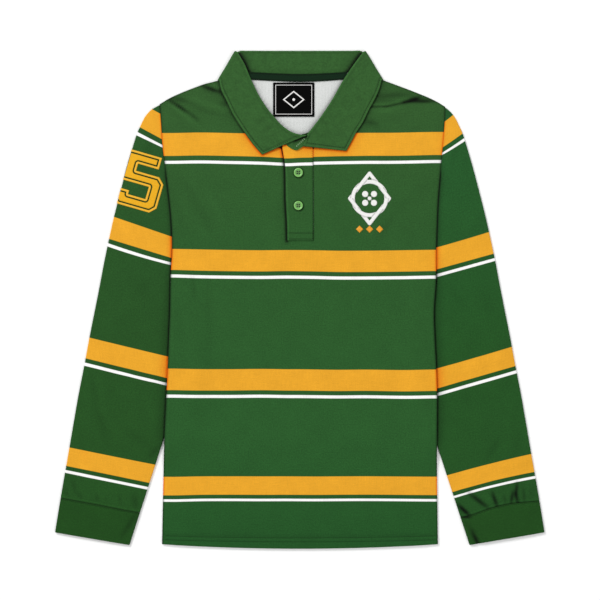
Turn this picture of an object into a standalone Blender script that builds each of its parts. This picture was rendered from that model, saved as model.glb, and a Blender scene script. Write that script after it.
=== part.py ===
"""A long-sleeve rugby polo shirt laid flat on its back, every piece at its real size.

Run it with: blender --background --python part.py

The shirt lies on the plane z = 0 with its collar towards +Y, its front facing +Z and its
origin at the middle of the floor that it covers. "Left" and "right" are as seen from above,
with the collar at the top. Tables and sizes are in millimetres.
"""

import math

import bmesh
import bpy
import numpy as np
from mathutils import Vector

COLLECTION = "Long-sleeve polo shirt"
MM = 0.001

# Walls: one ply of brushed jersey, the doubled collar and cuffs, and the trims.
CLOTH = 1.2
LEAF = 1.5
STAND = 1.3
CUFF = 1.5
TRIM = 1.0
SEAM = 0.35
ARMHOLE_GAP = 0.7
NECK_GAP = 2.2

# How far the plies stand off each other.
AIR = 1.6
ARMHOLE_AIR = 0.7
AIR_REACH = 45.0
SLEEVE_HEIGHT = 3.4
SLEEVE_PUFF = 1.3

# What lifts the body: the collar's back fall under the neck, the sleeves tucked under the sides.
COLLAR_RISE = 1.85
COLLAR_SLOPE = 60.0
TUCK_RISE = 4.3
TUCK_SLOPE = 45.0

# The body's outline. The sides run from the shoulder tips past the underarms to the hem.
HEM_Y = -367.0
HEM_SAG = 6.6
SLIT_Y = 98.0
UNDERARM_Y = 56.0
SLEEVE_LEAVES_BODY_Y = -213.0
TUCK_TOP_Y = 20.0


class Table:
    """Rows of numbers under named columns, read as smooth curves."""

    def __init__(self, names, rows):
        self.columns = dict(zip(names.split(), np.array(rows, float).T))

    def at(self, name, key, value):
        """The column's value where the key column has this value."""
        keys = self.columns[key]
        column = self.columns[name]
        if keys[0] > keys[-1]:
            keys, column = keys[::-1], column[::-1]
        slopes = np.gradient(column, keys)
        k = int(np.clip(np.searchsorted(keys, value) - 1, 0, len(keys) - 2))
        span = keys[k + 1] - keys[k]
        t = min(max((value - keys[k]) / span, 0.0), 1.0)
        a, b = column[k], column[k + 1]
        return (
            a * (1 + 2 * t) * (1 - t) ** 2
            + b * t * t * (3 - 2 * t)
            + slopes[k] * span * t * (1 - t) ** 2
            - slopes[k + 1] * span * t * t * (1 - t)
        )


class Line:
    """A smooth line through a few points, read by the share of its length."""

    def __init__(self, points):
        self.points = np.array(points, float)
        steps = np.linalg.norm(np.diff(self.points, axis=0), axis=1)
        self.length = np.concatenate([[0.0], np.cumsum(steps)])

    def at(self, share):
        names = "s x y"
        rows = np.column_stack([self.length / self.length[-1], self.points])
        table = Table(names, rows)
        return np.array([table.at("x", "s", share), table.at("y", "s", share)])


SIDES = Table(
    "y left right",
    [
        (290, -210.0, 218.0),
        (266, -208.0, 217.0),
        (234, -206.0, 214.5),
        (186, -200.0, 210.0),
        (150, -195.6, 207.0),
        (118, -192.5, 205.5),
        (76, -191.4, 204.4),
        (34, -193.2, 203.9),
        (-24, -194.4, 200.6),
        (-52, -195.6, 201.5),
        (-100, -197.4, 203.9),
        (-138, -199.2, 205.2),
        (-211, -202.8, 205.1),
        (-293, -204.9, 206.0),
        (-367, -206.4, 206.9),
    ],
)
SHOULDERS = {
    "left": Line([(-210, 290), (-197, 299.6), (-179, 309), (-149, 321.6), (-122.5, 326.6), (-98, 339)]),
    "right": Line([(218, 286), (200.5, 297.5), (162.5, 313.2), (124, 326.6), (97, 339)]),
}
NECK_FRONT = {
    "left": Line([(-98, 339), (-97, 318), (-88, 292), (-74, 268), (-56, 249), (-40, 238.5), (-27, 232.5),
                  (-17.5, 229)]),
    "right": Line([(97, 339), (96, 318), (86, 290), (71, 264), (52, 243), (36, 232), (20.4, 228)]),
}
NECK_BACK = {
    "left": Line([(-98, 339), (-77, 339.4), (-17.5, 337.2)]),
    "right": Line([(97, 339), (71, 339.4), (20.4, 337.2)]),
}
SLIT_EDGES = Table(
    "y left placket right",
    [
        (231, -17.5, -28.8, 20.4),
        (224, -17.2, -27.4, 20.4),
        (209, -16.8, -24.0, 20.4),
        (198, -16.6, -22.4, 20.4),
        (176, -16.4, -21.9, 20.5),
        (147, -16.2, -21.5, 20.7),
        (114, -15.4, -19.7, 20.8),
        (98, -15.0, -19.4, 20.5),
        (88, -15.0, -19.3, 20.5),
    ],
)

# The collar. The crease is where the leaf folds over the stand. Both lines end where the collar
# turns under at the side of the neck.
CREASE = {
    "left": Line([(-0.5, 246.2), (-10.7, 249.5), (-22.7, 257), (-39.2, 274), (-57, 298), (-72.2, 327.6),
                  (-83.7, 354), (-92.5, 371.3)]),
    "right": Line([(10.4, 245.5), (13.5, 250), (20, 258.3), (33.3, 276), (49, 300), (64, 326.4),
                   (86, 360.6), (93.2, 371.3)]),
}
LEAF_EDGE = {
    "left": Line([(-56.3, 216.5), (-70, 232), (-83.3, 250.5), (-99.8, 276), (-110.7, 298), (-117.0, 313),
                  (-118.5, 328.6)]),
    "right": Line([(69.6, 222.2), (76.2, 234), (85, 250.5), (93.8, 263.7), (105, 284.7), (113.6, 302.3),
                   (118.6, 315), (120.2, 328.8)]),
}
LEAF_KNEE = {"left": (-10.5, 236.8), "right": (2.6, 229.4)}
KNEE_SHARE = 0.2
KNEE_REACH = 0.28
LEAF_SHARES = [0.05, 0.2, 0.36, 0.52, 0.68, 0.84, 1.0]
BACK_CREASE = Line([(-92.5, 371.3), (-84, 373.0), (-60, 373.2), (60, 373.2), (84, 373.0), (93.2, 371.3)])
FALL_EDGE = Line([(-118.5, 328.6), (-110, 321), (-92, 319), (92, 319), (111, 321), (120.2, 328.8)])
BACK_NECK = Line([(-98, 339), (-77, 339.4), (-17.5, 337.2), (20.4, 337.2), (71, 339.4), (97, 339)])
COLLAR_CELLS = 12
TURN_CELLS = 6
BACK_CELLS = 12
LEAF_Z = {"front": 7.7, "back": 0.75}
STAND_Z = {"front": 5.5, "back": 2.95}
LEAF_LEAD = 3.4
LEAF_OVER_FRONT = 0.45
LEAF_OVER_PLACKET = 1.45

# The buttonhole end of the stand, from its tip towards the left leaf.
TAB = Table(
    "row upper_x upper_y lower_x lower_y",
    [
        (0, 11.2, 243.0, 7.5, 231.0),
        (1, 6.0, 242.8, 1.0, 227.2),
        (2, 1.6, 242.4, -5.3, 223.7),
        (3, -1.6, 242.6, -12.0, 225.8),
    ],
)
TAB_Z = {"upper": 5.3, "lower": 5.0}
PLACKET_TOP = Table(
    "x y",
    [
        (-28.8, 231.2),
        (-22, 230.0),
        (-17.5, 228.2),
        (-12, 224.8),
        (-5.3, 222.6),
        (1, 226.0),
        (7.5, 229.2),
        (20.4, 227.0),
    ],
)
PLACKET_FOOT_Y = 88.0
UNDER_PLACKET_TOP_Y = 222.0
UNDER_PLACKET_RIGHT = 14.0

# The sleeves, mirrored: x is the distance from the middle of the shirt.
SLEEVE = Table(
    "station outer_x outer_y inner_y",
    [
        (0, 212.0, 288.0, 56.0),
        (1, 221.0, 283.5, 54.0),
        (2, 231.0, 273.5, 51.0),
        (3, 238.5, 260.0, 47.5),
        (4, 244.2, 248.0, 43.5),
        (5, 250.8, 227.0, 38.0),
        (6, 259.0, 199.0, 31.0),
        (7, 267.5, 167.0, 22.0),
        (8, 277.0, 127.0, 9.0),
        (9, 285.0, 93.0, -8.0),
        (10, 293.0, 56.0, -31.0),
        (11, 300.0, 20.0, -57.0),
        (12, 307.5, -18.0, -86.0),
        (13, 315.5, -58.0, -118.0),
        (14, 323.6, -100.0, -151.0),
        (15, 331.5, -142.0, -184.0),
        (16, 338.5, -182.0, -214.0),
        (17, 345.3, -222.0, -246.0),
        (18, 351.5, -258.0, -278.0),
        (19, 356.8, -290.0, -312.0),
        (20, 357.2, -298.5, -323.0),
    ],
)
TUCK = Table(
    "y depth",
    [
        (56, -0.7),
        (34, -0.7),
        (20, -0.7),
        (12, 3.0),
        (-4, 11.5),
        (-24, 19.5),
        (-52, 26.5),
        (-86, 29.0),
        (-118, 24.5),
        (-151, 15.5),
        (-184, 7.0),
        (-213, -0.7),
    ],
)
SLEEVE_CELLS = 12
FOLD_STEPS = [0, 45, 90]
CUFF_HEIGHT = 3.8
CUFF_CELLS = 8
CUFF_END = {"outer": (366.8, -349.5), "inner": (255.2, -368.6)}

# The largest folds: soft ridges on the front, from one end to the other.
FOLDS = [
    {"from": (-196, 292), "to": (-146, 252), "width": 15, "height": 1.5},
    {"from": (-121, 316), "to": (-176, 284), "width": 14, "height": 1.1},
    {"from": (119, 306), "to": (200, 290), "width": 15, "height": 1.5},
    {"from": (150, 262), "to": (196, 206), "width": 17, "height": 0.9},
    {"from": (-28, 88), "to": (-52, 22), "width": 16, "height": 0.9},
    {"from": (-186, 66), "to": (-120, 18), "width": 18, "height": 1.0},
    {"from": (188, 62), "to": (118, 4), "width": 18, "height": 1.0},
]

BUTTON_X = -2.2
BUTTON_YS = {"button_upper": 190.5, "button_lower": 141.1}
BUTTON = {"radius": 6.5, "height": 2.2, "rim": 1.2, "dish": 0.5, "hole": 0.65, "hole_at": 1.35}
LABEL_BOX = {"x": (-40.0, 21.8), "y": (273.6, 324.6)}
TAPE = Table(
    "x top foot",
    [(-77, 340.4, 328.8), (-40, 338.6, 326.9), (0, 337.4, 325.5), (40, 338.6, 327.0), (71, 340.4, 329.4)],
)


def smooth(t):
    t = min(max(t, 0.0), 1.0)
    return t * t * (3 - 2 * t)


def mix(a, b, share):
    return a + (b - a) * share


def distance_to(polygon, x, y):
    """How far a point lies outside a polygon, and 0 inside it."""
    point = np.array([x, y])
    start = np.array(polygon, float)
    end = np.roll(start, -1, axis=0)
    run = end - start
    share = np.clip(((point - start) * run).sum(1) / (run * run).sum(1), 0, 1)
    gap = np.linalg.norm(start + run * share[:, None] - point, axis=1).min()
    crosses = (start[:, 1] > y) != (end[:, 1] > y)
    at = start[:, 0] + (y - start[:, 1]) / np.where(run[:, 1] == 0, 1e-9, run[:, 1]) * run[:, 0]
    return 0.0 if (crosses & (x < at)).sum() % 2 else gap


def distance_along(start, end, x, y):
    """A point's distance from a straight stretch, and how far along it that is, from 0 to 1."""
    a, b, point = np.array(start, float), np.array(end, float), np.array([x, y])
    run = b - a
    share = float(np.clip((point - a) @ run / (run @ run), 0, 1))
    return float(np.linalg.norm(a + run * share - point)), share


def side_x(side, y):
    return SIDES.at(side, "y", y)


def sign(side):
    return -1 if side == "left" else 1


def sleeve_inner(side, y):
    """The sleeve's inner edge: just outside the body's side, then under it, then straight to the cuff."""
    if y >= SLEEVE_LEAVES_BODY_Y:
        return sign(side) * (abs(side_x(side, y)) - TUCK.at("depth", "y", y))
    top = abs(side_x(side, SLEEVE_LEAVES_BODY_Y)) + SEAM * 2
    end = CUFF_END["inner"]
    return sign(side) * mix(top, end[0], (SLEEVE_LEAVES_BODY_Y - y) / (SLEEVE_LEAVES_BODY_Y - end[1]))


def tucked(side):
    """The patch of sleeve that lies under the body's side."""
    ys = [y for y in TUCK.columns["y"] if y <= TUCK_TOP_Y]
    inner = [(sleeve_inner(side, y), y) for y in ys]
    outer = [(side_x(side, y) + sign(side) * 20, y) for y in reversed(ys)]
    return inner + outer


TUCKED = {"left": tucked("left"), "right": tucked("right")}
UNDER_FALL = [(-124, 333), (-98, 376), (98, 376), (126, 333), (92, 317), (46, 315), (-46, 315), (-90, 317)]


def rise(x, y):
    """How far the body's back is lifted off the floor by what lies under it."""
    collar = COLLAR_RISE * (1 - smooth((distance_to(UNDER_FALL, x, y) - 2) / COLLAR_SLOPE))
    side = "left" if x < 0 else "right"
    tuck = TUCK_RISE * (1 - smooth((distance_to(TUCKED[side], x, y) - 4) / TUCK_SLOPE))
    return max(collar, tuck)


def air(x, y):
    """The front's height above the back: closed at the seams, open along the armholes, loose inside."""
    side = "left" if x < 0 else "right"
    inside = abs(side_x(side, y)) - abs(x)
    shoulder = min(distance_to_shoulder(x, y), inside)
    edge = min(shoulder, y - HEM_Y + 22)
    span = (y - UNDERARM_Y) / (290 - UNDERARM_Y)
    armhole = ARMHOLE_AIR * smooth(4 * span) * smooth(4 * (1 - span)) if 0 < span < 1 else 0.0
    loose = smooth(edge / AIR_REACH)
    return SEAM + AIR * loose + armhole * (1 - loose)


def distance_to_shoulder(x, y):
    side = "left" if x < 0 else "right"
    points = SHOULDERS[side].points
    gaps = [distance_along(points[k], points[k + 1], x, y)[0] for k in range(len(points) - 1)]
    return min(gaps)


def folds(x, y):
    """The height of the front's largest folds at a point."""
    height = 0.0
    for fold in FOLDS:
        gap, share = distance_along(fold["from"], fold["to"], x, y)
        across = math.exp(-((gap / fold["width"]) ** 2))
        height += fold["height"] * across * math.sin(math.pi * mix(0.15, 1, share))
    return height


def back_under(x, y):
    return rise(x, y)


def front_under(x, y):
    lift = air(x, y)
    return rise(x, y) + CLOTH + lift + folds(x, y) * smooth((lift - SEAM) / 0.6)


# The body's cells: shares of the way from a side to the slit, and of the way up.
SIDE_SHARES = [0, 0.07, 0.15, 0.24, 0.34, 0.45, 0.56, 0.67, 0.78, 0.89, 1]
SHOULDER_CELLS = 5
SLIT_CELLS = 2
LOWER_ROWS = 26
UPPER_ROWS = 14


def top_edge(side, column, panel):
    """A point of the panel's top edge: along the shoulder, then along the neck."""
    if column <= SHOULDER_CELLS:
        return SHOULDERS[side].at(SIDE_SHARES[column] / SIDE_SHARES[SHOULDER_CELLS])
    neck = NECK_FRONT if panel == "front" else NECK_BACK
    rest = 1 - SIDE_SHARES[SHOULDER_CELLS]
    return neck[side].at((SIDE_SHARES[column] - SIDE_SHARES[SHOULDER_CELLS]) / rest)


def upper_point(side, column, share, panel):
    """A point between the slit's foot and the shoulders, blended from the four edges around it."""
    c = SIDE_SHARES[column]
    tip = SHOULDERS[side].at(0)
    side_y = mix(SLIT_Y, tip[1], share)
    outer = np.array([side_x(side, side_y), side_y])
    if share == 1:
        outer = tip
    top_y = top_edge(side, len(SIDE_SHARES) - 1, panel)[1]
    inner_y = mix(SLIT_Y, top_y, share)
    slit_x = SLIT_EDGES.at(side, "y", inner_y) if panel == "front" else SLIT_EDGES.at(side, "y", SLIT_Y)
    inner = np.array([slit_x, inner_y])
    foot = np.array([side_x(side, SLIT_Y), SLIT_Y])
    slit_foot = np.array([SLIT_EDGES.at(side, "y", SLIT_Y), SLIT_Y])
    lower = mix(foot, slit_foot, c)
    upper = top_edge(side, column, panel)
    slit_top = top_edge(side, len(SIDE_SHARES) - 1, panel)
    corners = (1 - share) * mix(foot, slit_foot, c) + share * mix(tip, slit_top, c)
    return mix(outer, inner, c) + mix(lower, upper, share) - corners


def lower_point(column, row):
    """A point between the hem and the slit's foot. Columns run across the whole body."""
    share = row / LOWER_ROWS
    y = mix(HEM_Y, SLIT_Y, share)
    last = len(SIDE_SHARES) - 1
    left, right = side_x("left", y), side_x("right", y)
    slit_left, slit_right = SLIT_EDGES.at("left", "y", SLIT_Y), SLIT_EDGES.at("right", "y", SLIT_Y)
    if column <= last:
        x = mix(left, slit_left, SIDE_SHARES[column])
    elif column < last + SLIT_CELLS:
        x = mix(slit_left, slit_right, (column - last) / SLIT_CELLS)
    else:
        x = mix(right, slit_right, SIDE_SHARES[2 * last + SLIT_CELLS - column])
    across = (x - left) / (right - left) * 2 - 1
    return np.array([x, y - HEM_SAG * (1 - across**2) * (1 - share) ** 3])


def body_rows(panel):
    """The panel's grid of (x, y, z), from the hem up, with None where the placket's opening is."""
    last = len(SIDE_SHARES) - 1
    columns = 2 * last + SLIT_CELLS
    under = front_under if panel == "front" else back_under
    rows = [[lower_point(c, r) for c in range(columns + 1)] for r in range(LOWER_ROWS + 1)]
    for r in range(1, UPPER_ROWS + 1):
        share = r / UPPER_ROWS
        left = [upper_point("left", c, share, panel) for c in range(last + 1)]
        right = [upper_point("right", c, share, panel) for c in range(last, -1, -1)]
        if panel == "front":
            middle = [None] * (SLIT_CELLS - 1)
        else:
            middle = [mix(left[-1], right[0], (k + 1) / SLIT_CELLS) for k in range(SLIT_CELLS - 1)]
        rows.append(left + middle + right)
    return [[None if p is None else (p[0], p[1], under(p[0], p[1])) for p in row] for row in rows]


def grid_mesh(name, rows):
    """A mesh of quads through rows of points. Cells that touch a None are left out."""
    bm = bmesh.new()
    wide, high = len(rows[0]), len(rows)
    bmesh.ops.create_grid(bm, x_segments=wide - 1, y_segments=high - 1, size=1)
    bm.verts.ensure_lookup_table()
    missing = []
    for index, vert in enumerate(bm.verts):
        point = rows[index // wide][index % wide]
        if point is None:
            missing.append(vert)
        else:
            vert.co = Vector(point) * MM
    faces = {face for vert in missing for face in vert.link_faces}
    bmesh.ops.delete(bm, geom=list(faces), context="FACES")
    bmesh.ops.remove_doubles(bm, verts=bm.verts, dist=1e-6)
    mesh = bpy.data.meshes.new(name)
    bm.to_mesh(mesh)
    bm.free()
    mesh.shade_smooth()
    return mesh


def material(name, colour, roughness, metallic=0.0):
    made = bpy.data.materials.get(name) or bpy.data.materials.new(name)
    made.use_nodes = True
    shader = made.node_tree.nodes["Principled BSDF"]
    shader.inputs["Base Color"].default_value = (*colour, 1.0)
    shader.inputs["Roughness"].default_value = roughness
    shader.inputs["Metallic"].default_value = metallic
    return made


def add_object(name, mesh, finish):
    made = bpy.data.objects.new(name, mesh)
    made.data.materials.append(finish)
    bpy.data.collections[COLLECTION].objects.link(made)
    return made


def add_wall(name, rows, thickness, finish, offset=1.0, even=True):
    """A wall of cloth on a grid of points. Offset 1 thickens it upwards or outwards, 0 both ways."""
    made = add_object(name, grid_mesh(name, rows), finish)
    wall = made.modifiers.new("Wall", "SOLIDIFY")
    wall.thickness = thickness * MM
    wall.offset = offset
    wall.use_even_offset = even
    return made


def unit(vector):
    return np.array(vector, float) / np.linalg.norm(vector)


def place(at, z_front, z_back, turn, outward):
    """A point of the collar: on its front level at turn 0, on its back level at 180 degrees."""
    centre, radius = (z_front + z_back) / 2, (z_front - z_back) / 2
    flat = np.array(at) + np.array(outward) * radius * math.sin(turn)
    return (flat[0], flat[1], centre + radius * math.cos(turn))


def inside(line, share, gap):
    """A point of a neck edge, moved by the gap towards the middle of the neck opening."""
    near, far = line.at(max(share - 0.02, 0)), line.at(min(share + 0.02, 1))
    across = unit([near[1] - far[1], far[0] - near[0]])
    at = line.at(share)
    return at + across * gap * (1 if across @ (np.array([0, 350]) - at) > 0 else -1)


def collar_sections():
    """The collar's sections, from the left point round the back to the right one."""
    sections = []

    def front(side, share):
        return {
            "crease": CREASE[side].at(share),
            "edge": LEAF_EDGE[side].at(share),
            "neck": inside(NECK_FRONT[side], 1 - share, NECK_GAP),
            "side": side,
            "share": share,
            "turn": 0.0,
            "outward": (0, 0),
        }

    def corner(side, turn):
        section = front(side, 1.0)
        down = unit(section["edge"] - section["crease"])
        outward = np.array([down[1], -down[0]]) if side == "left" else np.array([-down[1], down[0]])
        return section | {"turn": math.radians(turn), "outward": outward}

    turns = [180 * k / TURN_CELLS for k in range(1, TURN_CELLS)]
    sections += [front("left", k / COLLAR_CELLS) for k in range(COLLAR_CELLS + 1)]
    sections += [corner("left", turn) for turn in turns]
    for k in range(BACK_CELLS + 1):
        share = k / BACK_CELLS
        sections.append(
            {
                "crease": BACK_CREASE.at(share),
                "edge": FALL_EDGE.at(share),
                "neck": inside(BACK_NECK, share, SEAM),
                "side": "back",
                "share": 1.0,
                "turn": math.pi,
                "outward": (0, 0),
            }
        )
    sections += [corner("right", turn) for turn in reversed(turns)]
    sections += [front("right", k / COLLAR_CELLS) for k in range(COLLAR_CELLS, -1, -1)]
    return sections


def leaf_level(x, y):
    """The middle of the leaf where it rests on the front, the placket and the buttonhole tab."""
    centre = 1 - smooth((abs(x + 3) - 28) / 22)
    return front_under(x, y) + CLOTH + LEAF_OVER_FRONT + LEAF_OVER_PLACKET * centre + LEAF / 2


def leaf_row(section):
    """The leaf's section: a lead on the stand's level, the roll at the crease, and the leaf itself."""
    roll = (LEAF_Z["front"] - STAND_Z["front"]) / 2
    crease, edge = section["crease"], section["edge"]
    down = unit(edge - crease)
    turn, outward = section["turn"], section["outward"]
    middle = crease + down * (roll + LEAF / 2)
    mid_front = (LEAF_Z["front"] + STAND_Z["front"]) / 2
    mid_back = (LEAF_Z["back"] + STAND_Z["back"]) / 2
    row = [place(crease + down * LEAF_LEAD, STAND_Z["front"], STAND_Z["back"], turn, outward)]
    for angle in (-90, -45, 0, 45, 90):
        up, back = math.sin(math.radians(angle)) * roll, math.cos(math.radians(angle)) * roll
        row.append(place(middle - down * back, mid_front + up, mid_back - up, turn, outward))
    near = max(0.0, 1 - section["share"] / KNEE_REACH) ** 2 if section["side"] != "back" else 0.0
    for share in LEAF_SHARES:
        flat = mix(middle, edge, share)
        if near > 0:
            side = section["side"]
            knee = np.array(LEAF_KNEE[side]) - mix(CREASE[side].at(0), LEAF_EDGE[side].at(0), KNEE_SHARE)
            weight = share / KNEE_SHARE if share < KNEE_SHARE else (1 - share) / (1 - KNEE_SHARE)
            flat = flat + knee * near * weight
        z_front = mix(LEAF_Z["front"], leaf_level(flat[0], flat[1]), min(share / 0.6, 1.0))
        row.append(place(flat, z_front, LEAF_Z["back"], turn, outward))
    return row


def stand_row(section):
    crease, neck = section["crease"], section["neck"]
    down = unit(section["edge"] - crease)
    turn, outward = section["turn"], section["outward"]
    upper = crease + down * (LEAF_LEAD + SEAM)
    z_front = front_under(neck[0], neck[1]) + CLOTH / 2
    z_back = back_under(neck[0], neck[1]) + CLOTH / 2
    row = []
    for share in (0, 1 / 3, 2 / 3, 1):
        flat = mix(upper, neck, share)
        front_z, back_z = mix(STAND_Z["front"], z_front, share), mix(STAND_Z["back"], z_back, share)
        row.append(place(flat, front_z, back_z, turn, outward))
    return row


def tab_row(k):
    upper = np.array([TAB.columns["upper_x"][k], TAB.columns["upper_y"][k], TAB_Z["upper"]])
    lower = np.array([TAB.columns["lower_x"][k], TAB.columns["lower_y"][k], TAB_Z["lower"]])
    return [tuple(mix(upper, lower, share)) for share in (0, 1 / 3, 2 / 3, 1)]


def tube_row(side, outer, inner, height, cells, top):
    """A flattened tube's section, once round. The bottom lies on the floor; top gives the extra height."""
    radius = height / 2
    run = inner - outer
    length = np.linalg.norm(run)
    along = run / length
    over, under = [], []
    for angle in FOLD_STEPS:
        a = math.radians(angle)
        over.append((radius * (1 - math.cos(a)), radius * (1 + math.sin(a)), False))
        under.append((radius * (1 - math.cos(a)), radius * (1 - math.sin(a)), False))
    for k in range(1, cells):
        d = radius + (length - 2 * radius) * k / cells
        over.append((d, height, True))
        under.append((d, 0.0, False))
    for angle in reversed(FOLD_STEPS):
        a = math.radians(angle)
        over.append((length - radius * (1 - math.cos(a)), radius * (1 + math.sin(a)), False))
        under.append((length - radius * (1 - math.cos(a)), radius * (1 - math.sin(a)), False))
    ring = over + under[-2:0:-1]
    if side == "left":
        ring = ring[:1] + ring[:0:-1]
    ring.append(ring[0])
    points = []
    for d, z, lifted in ring:
        flat = outer + along * d
        points.append((flat[0], flat[1], z + (top(flat, d, length - d) if lifted else 0.0)))
    return points


def sleeve_rows(side):
    """The sleeve's sections from the armhole to the cuff."""
    rows = []
    last = len(SLEEVE.columns["station"]) - 1
    for k in range(last + 1):
        outer = np.array([sign(side) * SLEEVE.columns["outer_x"][k], SLEEVE.columns["outer_y"][k]])
        if k == 0:
            tip = SHOULDERS[side].at(0)
            outer = np.array([side_x(side, tip[1]) + sign(side) * ARMHOLE_GAP, tip[1] - 1])
        inner_y = SLEEVE.columns["inner_y"][k]
        inner = np.array([sleeve_inner(side, inner_y), inner_y])
        calm = 0.25 + 0.75 * smooth((last - k) / 3)

        def top(flat, d_outer, d_inner, calm=calm):
            beside = abs(flat[0]) - abs(side_x(side, flat[1]))
            edge = max(0.0, min(d_outer, d_inner, beside))
            return SLEEVE_PUFF * calm * smooth(edge / 34)

        row = tube_row(side, outer, inner, SLEEVE_HEIGHT, SLEEVE_CELLS, top)
        held = []
        for x, y, z in row:
            if y > TUCK_TOP_Y:
                least = abs(side_x(side, min(y, 290))) + ARMHOLE_GAP
                x = sign(side) * (least if k == 0 else max(abs(x), least))
            held.append((x, y, z))
        rows.append(held)
    return rows


def cuff_rows(side):
    last = len(SLEEVE.columns["station"]) - 1
    outer = np.array([sign(side) * SLEEVE.columns["outer_x"][last], SLEEVE.columns["outer_y"][last]])
    inner_y = SLEEVE.columns["inner_y"][last]
    inner = np.array([sleeve_inner(side, inner_y), inner_y])
    end_outer = np.array([sign(side) * CUFF_END["outer"][0], CUFF_END["outer"][1]])
    end_inner = np.array([sign(side) * CUFF_END["inner"][0], CUFF_END["inner"][1]])
    first = SEAM / np.linalg.norm(end_outer - outer)
    shares = [first, 0.34, 0.67, 1.0]

    def top(flat, d_outer, d_inner):
        return 0.7 * smooth(min(d_outer, d_inner) / 30)

    return [
        tube_row(side, mix(outer, end_outer, s), mix(inner, end_inner, s), CUFF_HEIGHT, CUFF_CELLS, top)
        for s in shares
    ]


def placket_lift(across, y):
    """How far the upper placket's underside is above the front's: over it at the left and at the foot."""
    foot = 1 - smooth((y - SLIT_Y - 2) / 18)
    return (CLOTH + SEAM) * max(across, foot)


def upper_placket_rows():
    """From the foot up. Across is 0 at the seam on the right and 1 at the free edge on the left."""
    rows = []
    heights = [0, 0.04, 0.09, 0.15, 0.22, 0.3, 0.4, 0.5, 0.6, 0.7, 0.8, 0.88, 0.94, 1]
    for share in heights:
        row = []
        for k in range(7):
            across = 1 - k / 6
            top_x = mix(SLIT_EDGES.at("right", "y", 228) - SEAM, SLIT_EDGES.at("placket", "y", 228), across)
            y = mix(PLACKET_FOOT_Y, PLACKET_TOP.at("y", "x", top_x), share)
            left, right = SLIT_EDGES.at("placket", "y", y), SLIT_EDGES.at("right", "y", y) - SEAM
            x = mix(right, left, across)
            row.append((x, y, front_under(x, y) + placket_lift(across, y)))
        rows.append(row)
    return rows


def under_placket_rows():
    rows = []
    for k in range(9):
        y = mix(SLIT_Y + SEAM, UNDER_PLACKET_TOP_Y, k / 8)
        left = SLIT_EDGES.at("left", "y", y) + SEAM
        row = []
        for c in range(5):
            x = mix(left, UNDER_PLACKET_RIGHT, c / 4)
            row.append((x, y, front_under(x, y) - 0.2 - 1.2 * c / 4))
        rows.append(row)
    return rows


def tape_rows():
    rows = []
    for share in (0, 0.5, 1):
        row = []
        for k in range(15):
            x = mix(TAPE.columns["x"][0], TAPE.columns["x"][-1], k / 14)
            y = mix(TAPE.at("foot", "x", x), TAPE.at("top", "x", x), share)
            row.append((x, y, back_under(x, min(y, 337)) + CLOTH + SEAM))
        rows.append(row)
    return rows


def label_rows():
    rows = []
    for r in range(8):
        y = mix(*LABEL_BOX["y"], r / 7)
        row = []
        for c in range(8):
            x = mix(*LABEL_BOX["x"], c / 7)
            row.append((x, y, back_under(x, y) + CLOTH + SEAM))
        rows.append(row)
    return rows


def add_button(name, y, finish):
    """A dished disc with a rim and four holes, lying just above the placket."""
    size = BUTTON
    reach = size["radius"]
    spots = [(BUTTON_X + dx, y + dy) for dx in (-reach, 0, reach) for dy in (-reach, 0, reach)]
    left, right = SLIT_EDGES.at("placket", "y", y), SLIT_EDGES.at("right", "y", y) - SEAM
    unders = [front_under(px, py) + placket_lift((right - px) / (right - left), py) for px, py in spots]
    floor = max(unders) + TRIM + 0.3
    profile = [
        (0.0, 0.0),
        (reach - 1.0, 0.0),
        (reach - 0.2, 0.7),
        (reach, 1.2),
        (reach - 0.25, size["height"] - 0.2),
        (reach - 0.7, size["height"]),
        (reach - size["rim"], size["height"] - 0.1),
        (reach - size["rim"] - 0.8, size["height"] - size["dish"]),
        (0.0, size["height"] - size["dish"]),
    ]
    bm = bmesh.new()
    verts = [bm.verts.new((r * MM, 0, z * MM)) for r, z in profile]
    for a, b in zip(verts, verts[1:]):
        bm.edges.new((a, b))
    bmesh.ops.spin(bm, geom=bm.verts[:] + bm.edges[:], axis=(0, 0, 1), cent=(0, 0, 0), angle=math.tau,
                   steps=32, use_merge=True)
    bmesh.ops.remove_doubles(bm, verts=bm.verts, dist=1e-6)
    bmesh.ops.recalc_face_normals(bm, faces=bm.faces)
    bmesh.ops.translate(bm, verts=bm.verts, vec=Vector((BUTTON_X, y, floor)) * MM)
    mesh = bpy.data.meshes.new(name)
    bm.to_mesh(mesh)
    bm.free()
    mesh.shade_flat()
    made = add_object(name, mesh, finish)
    drill = bmesh.new()
    for k in range(4):
        a = math.radians(45 + 90 * k)
        spot = (BUTTON_X + math.cos(a) * size["hole_at"], y + math.sin(a) * size["hole_at"], floor + 1)
        new = bmesh.ops.create_cone(drill, cap_ends=True, segments=12, radius1=size["hole"] * MM,
                                    radius2=size["hole"] * MM, depth=6 * MM)
        bmesh.ops.translate(drill, verts=new["verts"], vec=Vector(spot) * MM)
    drill_mesh = bpy.data.meshes.new(name + "_holes")
    drill.to_mesh(drill_mesh)
    drill.free()
    cutter = bpy.data.objects.new(name + "_holes", drill_mesh)
    bpy.data.collections["Cutters"].objects.link(cutter)
    cutter.hide_render = True
    cutter.display_type = "WIRE"
    holes = made.modifiers.new("Holes", "BOOLEAN")
    holes.operation = "DIFFERENCE"
    holes.object = cutter
    holes.solver = "EXACT"


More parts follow.
